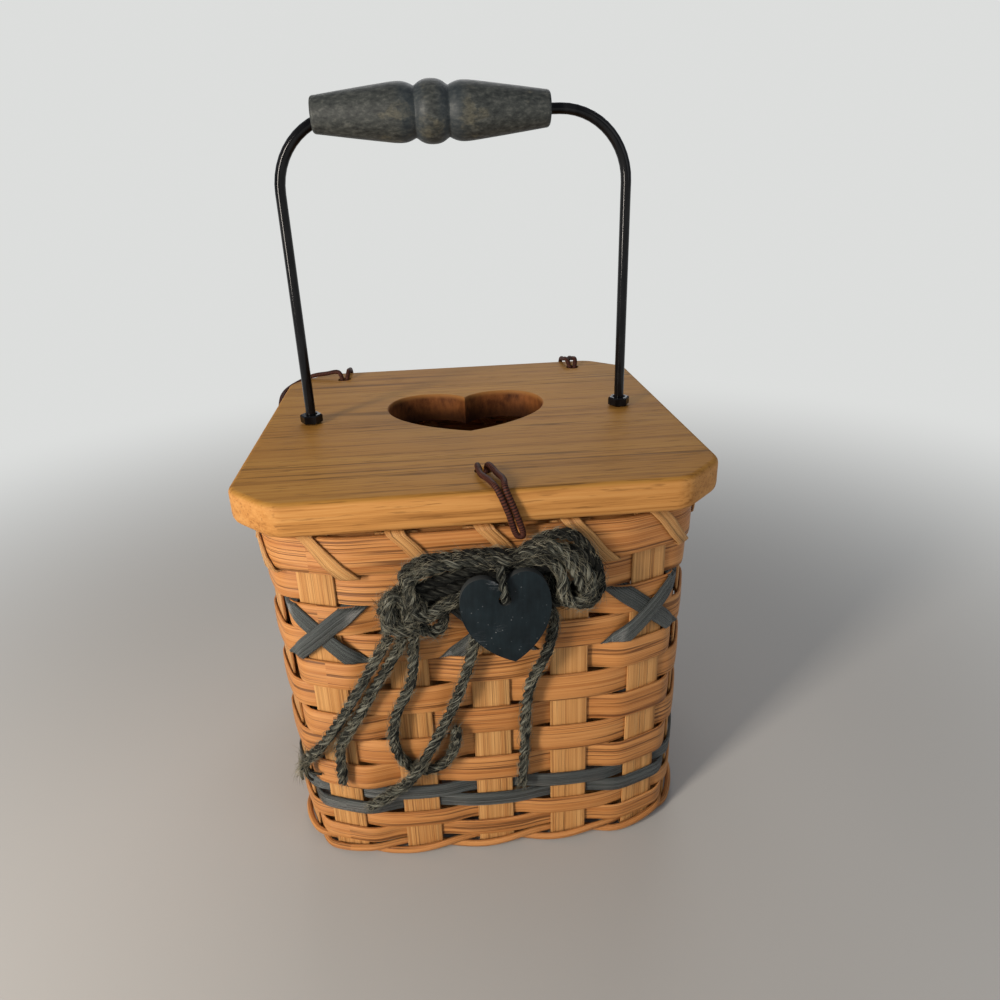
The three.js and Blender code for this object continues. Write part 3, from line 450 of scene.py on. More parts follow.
def reed(name, pale, body, dark, fine=1.0, streak=0.8, roughness=0.48, lined=0.45, rib=0.7, ribbed=0.12):
    """Split reed: ribs and fine fibres with dark and pale lines, along a UV map in millimetres."""
    f = Finish(name, 0.3)
    ribs = f.waves("Y", (0.004, math.pi / (10 * rib), 1), 5.0, 4.0)
    fibres = f.noise("UV", (0.012, 5.0 * fine, 1), 2, 0.6)
    bands = f.noise("UV", (0.008, 0.7, 1))
    tone = f.noise("UV", (0.02, 0.12, 1))
    veins = f.noise("UV", (0.005, 0.9 * fine, 1), 1, shift=(7.3, 2.1, 0))
    broken = f.noise("UV", (0.022, 0.9 * fine, 1), shift=(1.7, 5.2, 0))
    shine = f.noise("UV", (0.007, 2.2 * fine, 1), 1, shift=(3.9, 8.4, 0)).above(0.56, 0.66)
    cracks = veins.near(0.5, 0.045) * broken.above(0.42, 0.56)
    tint = fibres * 0.5 + bands * 0.5 + (ribs - 0.5) * ribbed
    colour = f.ramp(tint, (0.32, dark), (0.47, body), (0.66, pale))
    colour = f.mix(tone.above(0.35, 0.75) * 0.35, colour, (0.82, 0.68, 0.54), "MULTIPLY")
    colour = f.mix(shine * lined, colour, pale)
    colour = f.mix(cracks * streak, colour, [c * 0.35 for c in dark])
    height = fibres * 0.5 + bands * 0.3 + ribs * (ribbed * 2.5) - cracks * 0.9
    return f.wear(colour, fibres * 0.25 + (roughness - 0.12), height, 0.00025)


WEAVER = reed("honey_reed", (0.6, 0.285, 0.095), (0.47, 0.19, 0.05), (0.28, 0.088, 0.018))
STAKE = reed("pale_reed", (0.66, 0.37, 0.14), (0.5, 0.235, 0.072), (0.28, 0.1, 0.023),
             fine=1.8, streak=0.5, roughness=0.52, lined=0.5, rib=0.75, ribbed=0.15)
LASH = reed("lashing_reed", (0.72, 0.42, 0.16), (0.54, 0.255, 0.08), (0.28, 0.1, 0.022),
            fine=1.6, streak=0.7, roughness=0.48, lined=0.6, rib=0.6, ribbed=0.2)
DYED_REED = reed("dyed_reed", (0.16, 0.175, 0.168), (0.0155, 0.0195, 0.0205), (0.003, 0.004, 0.0045),
                 fine=1.3, streak=0.5, roughness=0.28, lined=0.6, rib=0.95, ribbed=0.5)


def twine_finish(name, share):
    """Unevenly dyed twine, with a share of its full brightness; a low share paints shade onto twine deep in the
    bow.
    """
    f = Finish(name, 0.2, 0.9)
    strands = f.noise("UV", (0.2, 1.1, 1), 2, 0.55)
    fibres = f.noise("UV", (0.3, 3.4, 1), 3, 0.65)
    tone = f.noise("UV", (0.09, 0.4, 1))
    stops = (0.44, (0.003, 0.003, 0.0025)), (0.53, (0.02, 0.021, 0.017)), (0.64, (0.27, 0.265, 0.21))
    stops = [(place, [c * share for c in colour]) for place, colour in stops]
    colour = f.ramp(strands * 0.45 + fibres * 0.45 + tone * 0.15, *stops)
    return f.wear(colour, None, strands * 0.4 + fibres * 0.6, 0.0004, 0.9)


def fibre_finish():
    f = Finish("jute_fibre", 0.3, 0.8)
    tone = f.noise("Object", (300, 300, 300))
    return f.wear(f.ramp(tone, (0.35, (0.05, 0.05, 0.036)), (0.65, (0.3, 0.27, 0.19))))


def elastic_finish():
    f = Finish("elastic_cord", 0.15)
    ribs = f.waves("X", (0.42, 0.42, 1), 1.0, 0.8)
    strands = f.noise("UV", (0.1, 1.6, 1))
    colour = f.ramp(ribs * 0.5 + strands * 0.5, (0.3, (0.008, 0.002, 0.0015)), (0.75, (0.085, 0.025, 0.014)))
    return f.wear(colour, None, ribs, 0.0002, 0.28)


JUTE = twine_finish("jute", 0.84)
# Painted shade: the same twine at a quarter of its brightness, for strands deep in the bow.
SHADE_PAINTED_JUTE = twine_finish("shade_painted_jute", 0.25)
FIBRE = fibre_finish()
ELASTIC = elastic_finish()


# Camera, placed by the photograph

CAMERA_TURN = (4.797, -23.799, -1.943)
CAMERA_PLACE = (-11.838, -274.199, 84.736 + LID_TOP)
FILM_WIDTH = 36
FOCAL_RATIO = 0.751


def make_camera():
    yaw, pitch, roll = (math.radians(a) for a in CAMERA_TURN)
    data = bpy.data.cameras.new("camera")
    data.sensor_width = FILM_WIDTH
    data.lens = FILM_WIDTH * FOCAL_RATIO
    data.clip_start = 0.01
    camera = bpy.data.objects.new("camera", data)
    bpy.context.scene.collection.objects.link(camera)
    turns = ((-yaw, "Z"), (math.pi / 2 + pitch, "X"), (roll, "Z"))
    camera.matrix_world = Matrix.Translation(Vector(CAMERA_PLACE) * MM)
    for angle, axis in turns:
        camera.matrix_world = camera.matrix_world @ Matrix.Rotation(angle, 4, axis)
    bpy.context.scene.camera = camera


make_camera()


# Twine

PLY_REACH = 0.64
PLY_RADIUS = 0.56
FIBRE_HALVES = (0.07, 0.06, 0.045, 0.015)


def plied(name, path, plies=3, pitch=9.0, diameter=TWINE, start=0.0):
    """Twine: plies twisted round a path of points in metres."""
    _, side, rise = path_frame(path)
    run = path_run(path) / MM
    swell = 1 + 0.06 * np.sin(run * 0.9 + start) + 0.05 * np.sin(run * 0.37 + 2 * start)
    half = diameter / 2 * MM * swell
    pieces = []
    for ply in range(plies):
        turn = 2 * np.pi * (run / pitch + ply / plies) + start
        centre = path + spun(side, rise, turn) * (PLY_REACH * half)[:, None]
        pieces.append(tube(f"{name}_ply", centre, PLY_RADIUS * half, 8, 40 * ply + 13 * start))
    return joined(name, pieces)


def fuzz(name, path, per_mm=9.0, reach=4.6, radius=TWINE / 2):
    """Loose fibres that stand off a twine, each a thin tapered blade bent along it."""
    ahead, side, rise = path_frame(path)
    count = int(spans(path).sum() / MM * per_mm)
    at = rng.integers(0, len(path), count)
    out = spun(side[at], rise[at], rng.uniform(0, 2 * np.pi, count))
    root = path[at] + out * (radius * 0.85 * MM)
    along = ahead[at] * rng.choice([-1, 1], count)[:, None]
    long = rng.uniform(0.35, 1, count)[:, None] * reach * MM
    across = np.cross(along, out)
    lean = rng.normal(0, 0.35, (count, 1))
    rings = []
    for t, half in zip(np.linspace(0, 1, len(FIBRE_HALVES)), FIBRE_HALVES):
        spine = root + long * (along * t + out * (0.66 * t - 0.36 * t * t) + across * lean * t * t)
        corners = np.stack([out, across, (out + across) * -0.6], 1)
        rings.append(spine[:, None] + corners * half * MM)
    points = np.stack(rings, 1).reshape(-1, 3)
    corner = np.arange(9)
    beside = corner // 3 * 3 + (corner + 1) % 3
    first = 12 * np.arange(count)[:, None, None]
    quads = (first + np.stack([corner, beside, beside + 3, corner + 3], 1)).reshape(-1, 4)
    caps = (first + [[2, 1, 0], [9, 10, 11]]).reshape(-1, 3)
    piece = from_faces(name, points.tolist(), quads.tolist() + caps.tolist())
    edit(piece, face_outwards)
    piece.data.shade_smooth()
    return piece


def twine_pieces(name, path, *nodes, jute=JUTE, fibre=FIBRE):
    """Plied twine along a path, and its loose fibres."""
    start = float(len(name)) + path[0][0] * 50
    piece = finish_piece(plied(name, path, start=start), "basket", jute, "bow_twine", *nodes)
    return piece, finish_piece(fuzz(f"{name}_fuzz", path), "basket", fibre, "bow_twine")


def frayed(name, path, per_mm, reach):
    """Loose fibres that spread from the end of a twine."""
    return finish_piece(fuzz(f"{name}_fray", path[-6:], per_mm, reach, 0.7), "basket", FIBRE, "bow_twine")


def split_end(name, path, ways):
    """Plies that come apart past the end of a twine, each along its own way in millimetres."""
    plies = []
    for way in ways:
        spread = smooth([(0, 0, 0), *way], 6) * MM
        plies.append(tube(f"{name}_split", path[-1] + spread, np.linspace(0.85, 0.45, len(spread)) * MM, 8))
    return finish_piece(joined(f"{name}_split", plies), "basket", JUTE, "bow_twine")


def twine(name, path, lay, node, *more, **finishes):
    """One length of twine, with its fibres. What is gathered on it is passed in but not used."""
    piece, hairs = twine_pieces(name, path, node, **finishes)


BOW_DEPTH = 77.3
BOW_STEP = 3.7
BOW_LOOPS = 3
BOW_STEPS = 48
BOW_FINE = 3
BOW_CAP = 7 / 24
BOW_LEFT = (-24, 108.3, 7.5)
BOW_RIGHT = (24.5, 115, 10.3)


def bow_outline(turn):
    """Point of the outer loop, across and up: a round cap at either end, and a waist between."""
    around = (turn + BOW_CAP / 2) % 1
    half, back = around % 0.5, around >= 0.5
    if half < BOW_CAP:
        x, z, radius = BOW_RIGHT if back else BOW_LEFT
        swing = math.pi * half / BOW_CAP + (-math.pi / 2 if back else math.pi / 2)
        return np.array([x + radius * math.cos(swing), z + radius * math.sin(swing)])
    run = (half - BOW_CAP) / (0.5 - BOW_CAP)
    across = 1 - run if back else run
    x, z, reach = (a + (b - a) * across for a, b in zip(BOW_LEFT, BOW_RIGHT))
    waist = math.sin(math.pi * across) ** 2
    reach -= 2.7 * waist
    return np.array([x, z + 4.4 * waist + (reach if back else -reach)])


def bow_path():
    """Loops wound inwards and then out again, with a step forward halfway."""
    middle = BOW_LOOPS / 2
    points = []
    for turn in np.linspace(0, BOW_LOOPS, BOW_LOOPS * BOW_STEPS + 1):
        inward = BOW_STEP * (middle - abs(turn - middle))
        climb = BOW_STEP * ease(turn, middle - 0.25, 0.5)
        along = unit(bow_outline(turn + 0.01) - bow_outline(turn - 0.01))
        x, z = bow_outline(turn) + np.array([-along[1], along[0]]) * inward
        points.append([x, -BOW_DEPTH - climb, z])
    return smooth(points, BOW_FINE) * MM


def eased(path, step, passes):
    """The same path with its points a step apart and its sharp turns rounded off."""
    away = path_run(path)
    at = np.linspace(0, away[-1], int(away[-1] / step) + 1)
    even = np.stack([np.interp(at, away, axis) for axis in path.T], 1)
    for _ in range(passes):
        even[1:-1] = (even[:-2] + 2 * even[1:-1] + even[2:]) / 4
    return even


# Routes of the tails, as points across, up and off the weave
ON_WEAVE = WEAVE_FACE + CLEAR + TWINE / 2
FROM_BOW = BOW_DEPTH + BOW_STEP / 2 - WALL_HALF - ON_WEAVE
OVER_CROSS = 2.0
OVER_TAIL = TWINE + 0.9
TAILS = {
    "bow_tail_1": [(-31, 98, FROM_BOW), (-33.6, 93, 3), (-41.5, 78.6, 1.6), (-51.6, 61, 0.6),
                   (-60, 48.6, 0.8), (-64.5, 43.6, 1.2), (-65.8, 39.8, 1.4)],
    "bow_tail_2": [(-27.2, 97.4, FROM_BOW), (-28.6, 92.6, 2.8), (-36.6, 78.4, 0.8), (-43.6, 65.6, 0.2),
                   (-49.4, 56, 0.2), (-51.6, 50, 0.2), (-52.2, 36.4, 0.2)],
    "bow_tail_3": [(-23.4, 97.6, FROM_BOW), (-24, 92, 2.8), (-25.6, 78.4, 0.5), (-31.4, 65.7, 0.1),
                   (-33.2, 55.8, 0.1), (-31.8, 47.6, 0.1), (-28, 43, 0.1), (-22.3, 41.2, 0.1),
                   (-16.4, 44.2, 0.1), (-13, 51, 0.1), (-12.2, 57.6, 0.1)],
    "bow_tail_4": [(-1.6, 106, FROM_BOW), (-2.8, 101, OVER_CROSS + 0.8), (-4.9, 91.7, OVER_CROSS),
                   (-9.5, 76, 1.4), (-14.8, 63, 0.6), (-20.6, 52, 1.4), (-27.6, 42.2, OVER_TAIL),
                   (-34, 34.2, 1.2), (-43.8, 26, 0.2)],
    "bow_tail_5": [(18.8, 104.2, FROM_BOW), (20.2, 97.2, 2.4), (17.7, 85.6, OVER_CROSS), (12.9, 74.4, 1),
                   (11, 60, -0.3), (10.6, 49.6, -0.3), (9.4, 30, -0.3)],
}

# Ways of the plies at the frayed end of the first tail, as steps across, back and up
LOOSE_PLIES = [
    [(-0.9, 0.3, -2), (-1.6, 0.9, -4.4), (-1.5, 1.4, -7)],
    [(0.4, -0.4, -2.2), (0.8, -0.3, -4.6), (2.2, 0.1, -6.6)],
    [(1.2, -0.2, -1.6), (3, -0.4, -3), (5.6, -0.5, -3.8)],
]

# Strands gathered into the bow, as points across, out and up
BOW_STRANDS = {
    "upper_front": [(9.9, 81, 122.7), (3.5, 81, 122.2), (-3.8, 81, 123.3), (-12.1, 81.6, 122.8),
                    (-18.4, 82.6, 121.9), (-22.1, 83, 120), (-23.4, 83.4, 116.8), (-22.7, 83.6, 112.1),
                    (-24, 83, 107)],
    "upper_back": [(9.1, 78.5, 123.3), (-0.4, 78.6, 124.1), (-9.9, 79, 123.9), (-17.2, 79.4, 123.8),
                   (-21.4, 79.6, 122.5), (-24.6, 80, 119.6), (-24, 81, 115.3), (-20.3, 82.5, 109.9),
                   (-18.6, 81, 104.1)],
    "lower_front": [(2.4, 80.5, 116.5), (-3.1, 80.8, 114.7), (-6.9, 81, 112.7), (-10.7, 81.6, 110.9),
                    (-15.1, 82.4, 108.5), (-18.9, 83, 107.3), (-23.6, 84, 108.1)],
    "lower_back": [(3.5, 78, 119), (-3.9, 78, 115.6), (-8.3, 78.2, 111.6), (-11.8, 78.4, 108.7),
                   (-16.6, 79, 106.5)],
    "under_knot": [(-22.7, 79, 106.7), (-18.3, 78.5, 107.3), (-14.7, 78.2, 105.5), (-13.8, 78.4, 101.7),
                   (-16.8, 79, 98.9), (-21, 80, 100.9), (-23.8, 81, 105.6)],
    "right_inner": [(7.7, 81, 121.7), (13, 81.4, 125.2), (18.2, 82, 126.1), (22.3, 82.6, 124.3),
                    (25.4, 83, 119.5), (27.6, 83.4, 113.9), (30.1, 82.6, 108.8)],
    "right_outer": [(7.1, 79, 121.3), (14.4, 79, 126.6), (19.7, 79, 129), (25.5, 79.2, 128.4),
                    (29.8, 79.6, 123.9), (33.1, 80, 117.2), (33.7, 80.4, 111), (31.6, 81, 106.8),
                    (27.7, 81.6, 106.2), (23.2, 81.4, 108.2), (20.1, 80.4, 112.2), (18.6, 79, 116.7)],
    "right_front": [(8.2, 80.9, 120.1), (14, 81, 122.3), (19.4, 82, 121), (21.9, 83.4, 116.9),
                    (22.3, 84, 111.7), (24.9, 84.2, 108.6), (28.7, 84, 109.7), (30.7, 83.6, 114.3),
                    (28.6, 82.8, 119), (24, 82, 123.9), (18.4, 81, 126.4), (12.1, 80, 124.4)],
}
# Strands at the back of the bow, given twine with painted shade.
SHADE_PAINTED_STRANDS = ("upper_back", "lower_back", "right_outer")
KNOT_PLACE = (-26.6, -81.2, 109.4)
COLLAR_PLACE = (-26.6, -79.9, 100.6)


def knot_wrap():
    """Twine wound into a ball round the left end of the bow, where three tails come out."""
    turn = np.linspace(0, 2 * np.pi * 6.4, 230)
    tilt = 1.1 * np.sin(turn * 0.31 + 0.4)
    reach = 4.5 * np.clip(turn / 16, 0.45, 1) + 0.4 * np.sin(turn * 0.73)
    depth = 0.75 * np.sin(tilt) * np.cos(turn) + 0.25 * np.sin(turn * 0.5)
    ring = np.stack([1.08 * np.cos(turn) * np.cos(tilt), depth, np.sin(turn)], 1)
    return (KNOT_PLACE + ring * reach[:, None]) * MM


def knot_collar():
    """Two turns that draw the tails together under the knot."""
    turn = np.linspace(0, 2 * np.pi * 2.2, 70)
    ring = np.stack([4.6 * np.cos(turn), 3.1 * np.sin(turn), 2.3 * turn / 6.3 - 0.9 * np.cos(turn)], 1)
    return (COLLAR_PLACE + ring) * MM


def gather_bow():
    pieces = []
    for name, route in BOW_STRANDS.items():
        points = np.array(route) * (1, -1, 1)
        # Painted shade: the back strands get the darker twine.
        finishes = {"jute": SHADE_PAINTED_JUTE} if name in SHADE_PAINTED_STRANDS else {}
        pieces += twine_pieces(f"bow_{name}", smooth(points, 10) * MM, **finishes)
    for name, path in (("bow_knot", knot_wrap()), ("bow_collar", knot_collar())):
        pieces += twine_pieces(name, path)
    return pieces


bow = eased(bow_path(), MM, 4)
# Painted shade: the wound loops and their fibres use the darker twine, for the shadowed hollow of the bow.
twine("bow_twine", bow, "coiled", "bow_loops", *gather_bow(), jute=SHADE_PAINTED_JUTE, fibre=SHADE_PAINTED_JUTE)
for tail, route in TAILS.items():
    points = np.array([(x, front_face(x, ON_WEAVE + lift), z) for x, z, lift in route])
    path = smooth(points, 12) * MM
    if tail == "bow_tail_1":
        ends = [frayed(tail, path, 120, 8), split_end(tail, path, LOOSE_PLIES)]
    else:
        ends = [frayed(tail, path, 30, 3.5)]
    twine(f"{tail}_twine", path, "hanging", tail, *ends)


# Weave

WEAVE_GAP = 0.12
TUCK = 0.75
BULGE = 0.2
DYED_LOW = FIRST_ROW + 2 * (NARROW + ROW_GAP)
WIDE_LOW = DYED_LOW + 2 * (DYED + ROW_GAP)


def row_low(row):
    """Lower edge of a wide row, the rows being counted down from the rim."""
    return WIDE_LOW + (8 - row) * (WIDE + ROW_GAP)


def band(name, slots, offset, height, section, uv_start):
    """A reed that runs along the wall, its section standing upright on the wall's face."""
    across, out = section.T
    points = wall(slots[:, None], offset[:, None] + out, height[:, None] + across)
    return skin(name, points, (*uv_start, skin_length(points), spans(section).sum()))


def woven_offset(slots, odd_outside, tucked):
    """Offset of a weaver that passes outside one stake and inside the next, bowed a little over each."""
    near = (STAKE_THICK + REED_THICK) / 2 + WEAVE_GAP
    inside = -near - TUCK if tucked else -near
    at = np.array([near if (k % 2 == 0) == odd_outside else inside for k in range(COUNT)])
    before = np.floor(slots).astype(int) % COUNT
    here, there = at[before], at[(before + 1) % COUNT]
    passed = ease(slots - np.floor(slots), FLAT * 0.9, 1 - 1.8 * FLAT)
    blend = here + (there - here) * passed
    aside = np.clip(np.abs(slots - np.round(slots)) / FLAT, 0, 1)
    return blend + np.sign(blend) * BULGE * (1 - aside**2)


def weaver(name, low, height, odd_outside, material, slot, tucked=False):
    slots = np.linspace(0, COUNT, COUNT * 12 + 1)
    offset = woven_offset(slots, odd_outside, tucked)
    middle = low + height / 2 + wander(len(slots), 12, 0.1)
    section = reed_section(height + 0.6, REED_THICK)
    piece = band(f"{name}_reed", slots, offset, middle, section, uv_seed())
    finish_piece(piece, "basket", material, slot, name)


for row in range(1, 9):
    height = WIDE + UNDER_RIM if row == 1 else WIDE
    weaver(f"weaver_row_{row}", row_low(row), height, row % 2 == 0, WEAVER, "weaver_reed", row in (2, 4))
weaver("dyed_weaver_upper", DYED_LOW + DYED + ROW_GAP, DYED, False, DYED_REED, "dyed_reed")
weaver("dyed_weaver_lower", DYED_LOW, DYED, True, DYED_REED, "dyed_reed")
weaver("weaver_row_9", FIRST_ROW + NARROW + ROW_GAP, NARROW, False, WEAVER, "weaver_reed")
weaver("weaver_row_10", FIRST_ROW, NARROW, True, WEAVER, "weaver_reed")


def rim_band(name, offset):
    slots = np.linspace(0, COUNT, COUNT * 8 + 1)
    middle = np.full(len(slots), (RIM_LOW + RIM_TOP) / 2)
    section = reed_section(RIM_TOP - RIM_LOW, RIM_THICK, 0.1)
    piece = band(f"{name}_reed", slots, np.full(len(slots), offset), middle, section, uv_seed())
    finish_piece(piece, "basket", WEAVER, "weaver_reed", name)


rim_band("rim_outer", RIM_OFFSET)
rim_band("rim_inner", -RIM_OFFSET)


def rim_lashing():
    """One strip that spirals round both rim bands, a turn for every stake."""
    width, thick, corner, gap = 5.8, 0.7, 0.5, 0.45
    near, high, low = RIM_OFFSET + RIM_THICK / 2 + gap, RIM_TOP + gap, RIM_LOW - gap
    # Stops of half a turn: slot, offset and height, then the way out of the strip's face
    down = np.array([
        (0.0, near - corner, high, 0.4, 0.9), (0.02, near, high - corner, 0.9, 0.4),
        (0.15, near, high - 4, 1, 0), (0.31, near, low + 4, 1, 0),
        (0.44, near, low + corner, 0.9, -0.4), (0.46, near - corner, low, 0.4, -0.9),
    ])
    up = down * (1, -1, -1, -1, -1) + (0.5, 0, low + high, 0, 0)
    turns = [stops + (k, 0, 0, 0, 0) for k in range(COUNT) for stops in (down, up)]
    stops = np.concatenate([*turns, down[:1] + (COUNT, 0, 0, 0, 0)])
    slot, offset, height, outward, upward = stops.T[..., None]
    section = reed_section(width, thick, 0.06)
    out = section[:, 1] + thick / 2
    points = wall(slot + section[:, 0] / PITCH, offset + out * outward, height + out * upward)
    piece = skin("rim_lashing_reed", points, (0, 0, skin_length(points), 17))
    finish_piece(piece, "basket", LASH, "stake_reed", "rim_lashing")


rim_lashing()


def cross_strip(name, starts_up, lift):
    """A dyed strip that crosses two rows at every other stake and slips behind the rows above and below."""
    width, thick, slope, limit, sharpness = 6.0, 0.7, 23.0, 15.0, 14
    before_row, behind_row, in_view = 0.85, 0.8, 10.1
    run = np.linspace(-1, COUNT - 1, COUNT * 80 + 1)
    nearest = 2 * np.round(run / 2)
    rising = np.where((nearest / 2) % 2 == (0 if starts_up else 1), 1, -1)
    steep = slope * (run - nearest) / limit
    level = rising * limit * steep / (1 + np.abs(steep) ** sharpness) ** (1 / sharpness)
    lean = np.arctan2(np.gradient(level), np.gradient(run) * PITCH)[:, None]
    across, out = reed_section(width, thick, 0.05, 12).T
    slots = run[:, None] - np.sin(lean) * across / PITCH
    rise = level[:, None] + np.cos(lean) * across
    even, odd = woven_offset(slots, True, True), woven_offset(slots, False, False)
    front = np.where(rise > 0, even, np.maximum(even, odd)) + before_row
    front += lift * np.exp(-(((slots - nearest[:, None]) / 0.3) ** 2))
    behind = np.where(rise > 0, np.minimum(odd - behind_row, -0.9), even - behind_row)
    offset = front + (behind - front) * ease(np.abs(rise), in_view, 0.55)
    middle = row_low(2) - ROW_GAP / 2
    points = wall(slots, offset + out, middle + rise)
    piece = skin(f"{name}_reed", points, (*uv_seed(), skin_length(points), 13.4))
    finish_piece(piece, "basket", DYED_REED, "dyed_reed", name)


cross_strip("cross_strip_under", False, 0.0)
cross_strip("cross_strip_over", True, 0.8)


def foot_reed(name, strand):
    """One of two oval reeds twined round the foot: it goes in above the other and comes out below it."""
    tall, deep, out, lift = 1.3, 1.1, 2.05, 1.25
    slots = np.linspace(0, COUNT, COUNT * 14 + 1)
    swing = np.pi * (slots - strand)
    offset = out * np.cos(swing)
    level = FOOT_LEVEL + lift * np.sin(swing)
    turn = np.linspace(0, 2 * np.pi, 13)
    oval = np.stack([tall * np.sin(turn), deep * np.cos(turn)], 1)
    piece = band(f"{name}_reed", slots, offset, level, oval, (400 * strand, 3))
    finish_piece(piece, "basket", WEAVER, "weaver_reed", name)


foot_reed("foot_twine_a", 0)
foot_reed("foot_twine_b", 1)


def stake(name, slot, quarter, first_level):
    """A flat upright from rim to rim: down one wall, through the base over and under, and up the other."""
    place, out = STAKES[slot + 2], OUTWARD[slot + 2]
    depth, turn = -place[1], math.atan2(out[0], -out[1])
    low, fold, reach = STAKE_THICK / 2, 1.55, FLAT * PITCH
    stops = [(depth, z, turn, 90) for z in np.linspace(RIM_TOP, low + fold + 2, 24)]
    for lean in np.linspace(90, 0, 7):
        a = math.radians(lean)
        inward, lift = fold * (1 - math.sin(a)), fold * (1 - math.cos(a))
        stops.append((depth - inward, low + lift, turn * lean / 90, lean))
    stops.append((depth - 3.8, low, 0, 0))
    base = []
    for cross in range(-2, 3):
        level = (low, low + STAKE_THICK + CLEAR)[(abs(cross + slot) + first_level) % 2]
        base += [(cross * PITCH + step, level, 0, 0, 1) for step in (-reach, 0, reach)]
    front = [(-y, z, -turn, lean, -1) for y, z, turn, lean in stops]
    back = [(*stop, 1) for stop in stops[::-1]]
    y, z, turn, lean, end = np.array(front + base + back, float).T
    lean = np.radians(lean)[:, None]
    across = np.stack([np.cos(turn), -np.sin(turn), 0 * turn], 1)
    flat_out = np.stack([np.sin(turn), np.cos(turn), 0 * turn], 1) * end[:, None]
    face = flat_out * np.sin(lean) - np.array([0, 0, 1.0]) * np.cos(lean)
    centre = np.stack([np.full(len(y), slot * PITCH), y, z], 1)
    section = reed_section(STAKE_WIDTH, STAKE_THICK, 0.05)
    points = centre[:, None] + across[:, None] * section[:, :1] + face[:, None] * section[:, 1:]
    middles = np.repeat(points.mean(1, keepdims=True), len(section), 1)
    points = np.concatenate([middles[:1], points, middles[-1:]])
    if quarter:
        points = np.stack([-points[..., 1], points[..., 0], points[..., 2]], -1)
    piece = skin(f"{name}_reed", points * MM, (*uv_seed(), spans(centre).sum(), 26))
    finish_piece(piece, "basket", STAKE, "stake_reed", name)


for slot in range(-2, 3):
    stake(f"stake_front_back_{slot + 3}", slot, 0, 1)
    stake(f"stake_left_right_{slot + 3}", slot, 1, 0)


# Lid

HEART_SPANS = np.array([
    [(0, 0), (0.45, 0.1), (1, 0.34), (1, 0.66)],
    [(1, 0.66), (1, 0.9), (0.74, 1), (0.48, 1)],
    [(0.48, 1), (0.24, 1), (0.06, 0.93), (0, 0.84)],
])


def heart(width, height):
    """Heart outline with its tip at the origin, as points across and up."""
    t = np.linspace(0, 1, 14, endpoint=False)[:, None]
    side = np.concatenate([bezier(t, *span) for span in HEART_SPANS])
    dip = HEART_SPANS[-1, -1:]
    return np.concatenate([side, dip, side[:0:-1] * (-1, 1)]) * (width / 2, height)


def prism(name, outline, low, high):
    """A flat outline in metres, filled and extruded between two heights."""
    piece = from_faces(name, [(x, y, low) for x, y in outline], [list(range(len(outline)))])

    def raise_face():
        bpy.ops.mesh.extrude_region_move(TRANSFORM_OT_translate={"value": (0, 0, high - low)})

    edit(piece, raise_face, select_mesh, face_outwards)
    return piece


def cut_away(piece, cutter):
    select(piece)
    modifier = piece.modifiers.new("cut", "BOOLEAN")
    modifier.object = cutter
    modifier.solver = "EXACT"
    bpy.ops.object.modifier_apply(modifier=modifier.name)
    bpy.data.objects.remove(cutter)


def drill(piece, place, radius, depth, sides):
    """Cuts a round upright hole at a place in millimetres."""
    select()
    bpy.ops.mesh.primitive_cylinder_add(vertices=sides, radius=radius * MM, depth=depth * MM,
                                        location=[v * MM for v in place])
    cut_away(piece, bpy.context.object)


def bevel_edges(piece, wanted, width, segments):
    """Rounds the edges whose two ends, in millimetres, satisfy a test."""
    edit(piece, lambda: bpy.ops.mesh.select_mode(type="EDGE"), lambda: select_mesh("DESELECT"))
    for edge in piece.data.edges:
        edge.select = wanted(*(piece.data.vertices[i].co / MM for i in edge.vertices))
    bpy.ops.object.mode_set(mode="EDIT")
    bpy.ops.mesh.bevel(offset=width * MM, segments=segments, affect="EDGES", clamp_overlap=True)
    bpy.ops.mesh.select_mode(type="VERT")
    bpy.ops.object.mode_set(mode="OBJECT")


def lid_finish():
    f = Finish("lid_board", 0.06)
    rings = f.noise("Object", (3, 95, 260), 3, 0.55, (0.4, 0.2, 0), distortion=0.6)
    grain = f.noise("Object", (22, 900, 900), 4, 0.7)
    dash = f.noise("Object", (90, 1200, 1200)).above(0.6, 0.7)
    tone = f.noise("Object", (14, 26, 20))
    lines = f.noise("Object", (2.2, 110, 110), shift=(0.9, 0.3, 0), distortion=0.4)
    faded = f.noise("Object", (18, 60, 60), shift=(2.7, 1.1, 0))
    top = f.axis("Z").above((LID_TOP - 1.6) * MM, (LID_TOP - 0.2) * MM)
    growth = lines.near(0.5, 0.016) * faded.above(0.35, 0.6) * top
    colour = f.ramp(rings * 0.4 + grain * 0.6, (0.34, (0.24, 0.1, 0.026)), (0.47, (0.44, 0.2, 0.056)),
                    (0.64, (0.52, 0.26, 0.082)))
    colour = f.mix(tone.above(0.4, 0.7) * 0.3, colour, (0.85, 0.74, 0.6), "MULTIPLY")
    colour = f.mix(dash * 0.45, colour, (0.13, 0.055, 0.016))
    colour = f.mix(growth * 0.65, colour, (0.14, 0.06, 0.018))
    colour = f.mix(top, colour, (0.76, 0.78, 0.57), "MULTIPLY")
    return f.wear(colour, grain * 0.2 + 0.42, grain * 0.5 - dash * 0.5 - growth * 0.4, 0.0002, 0.5)


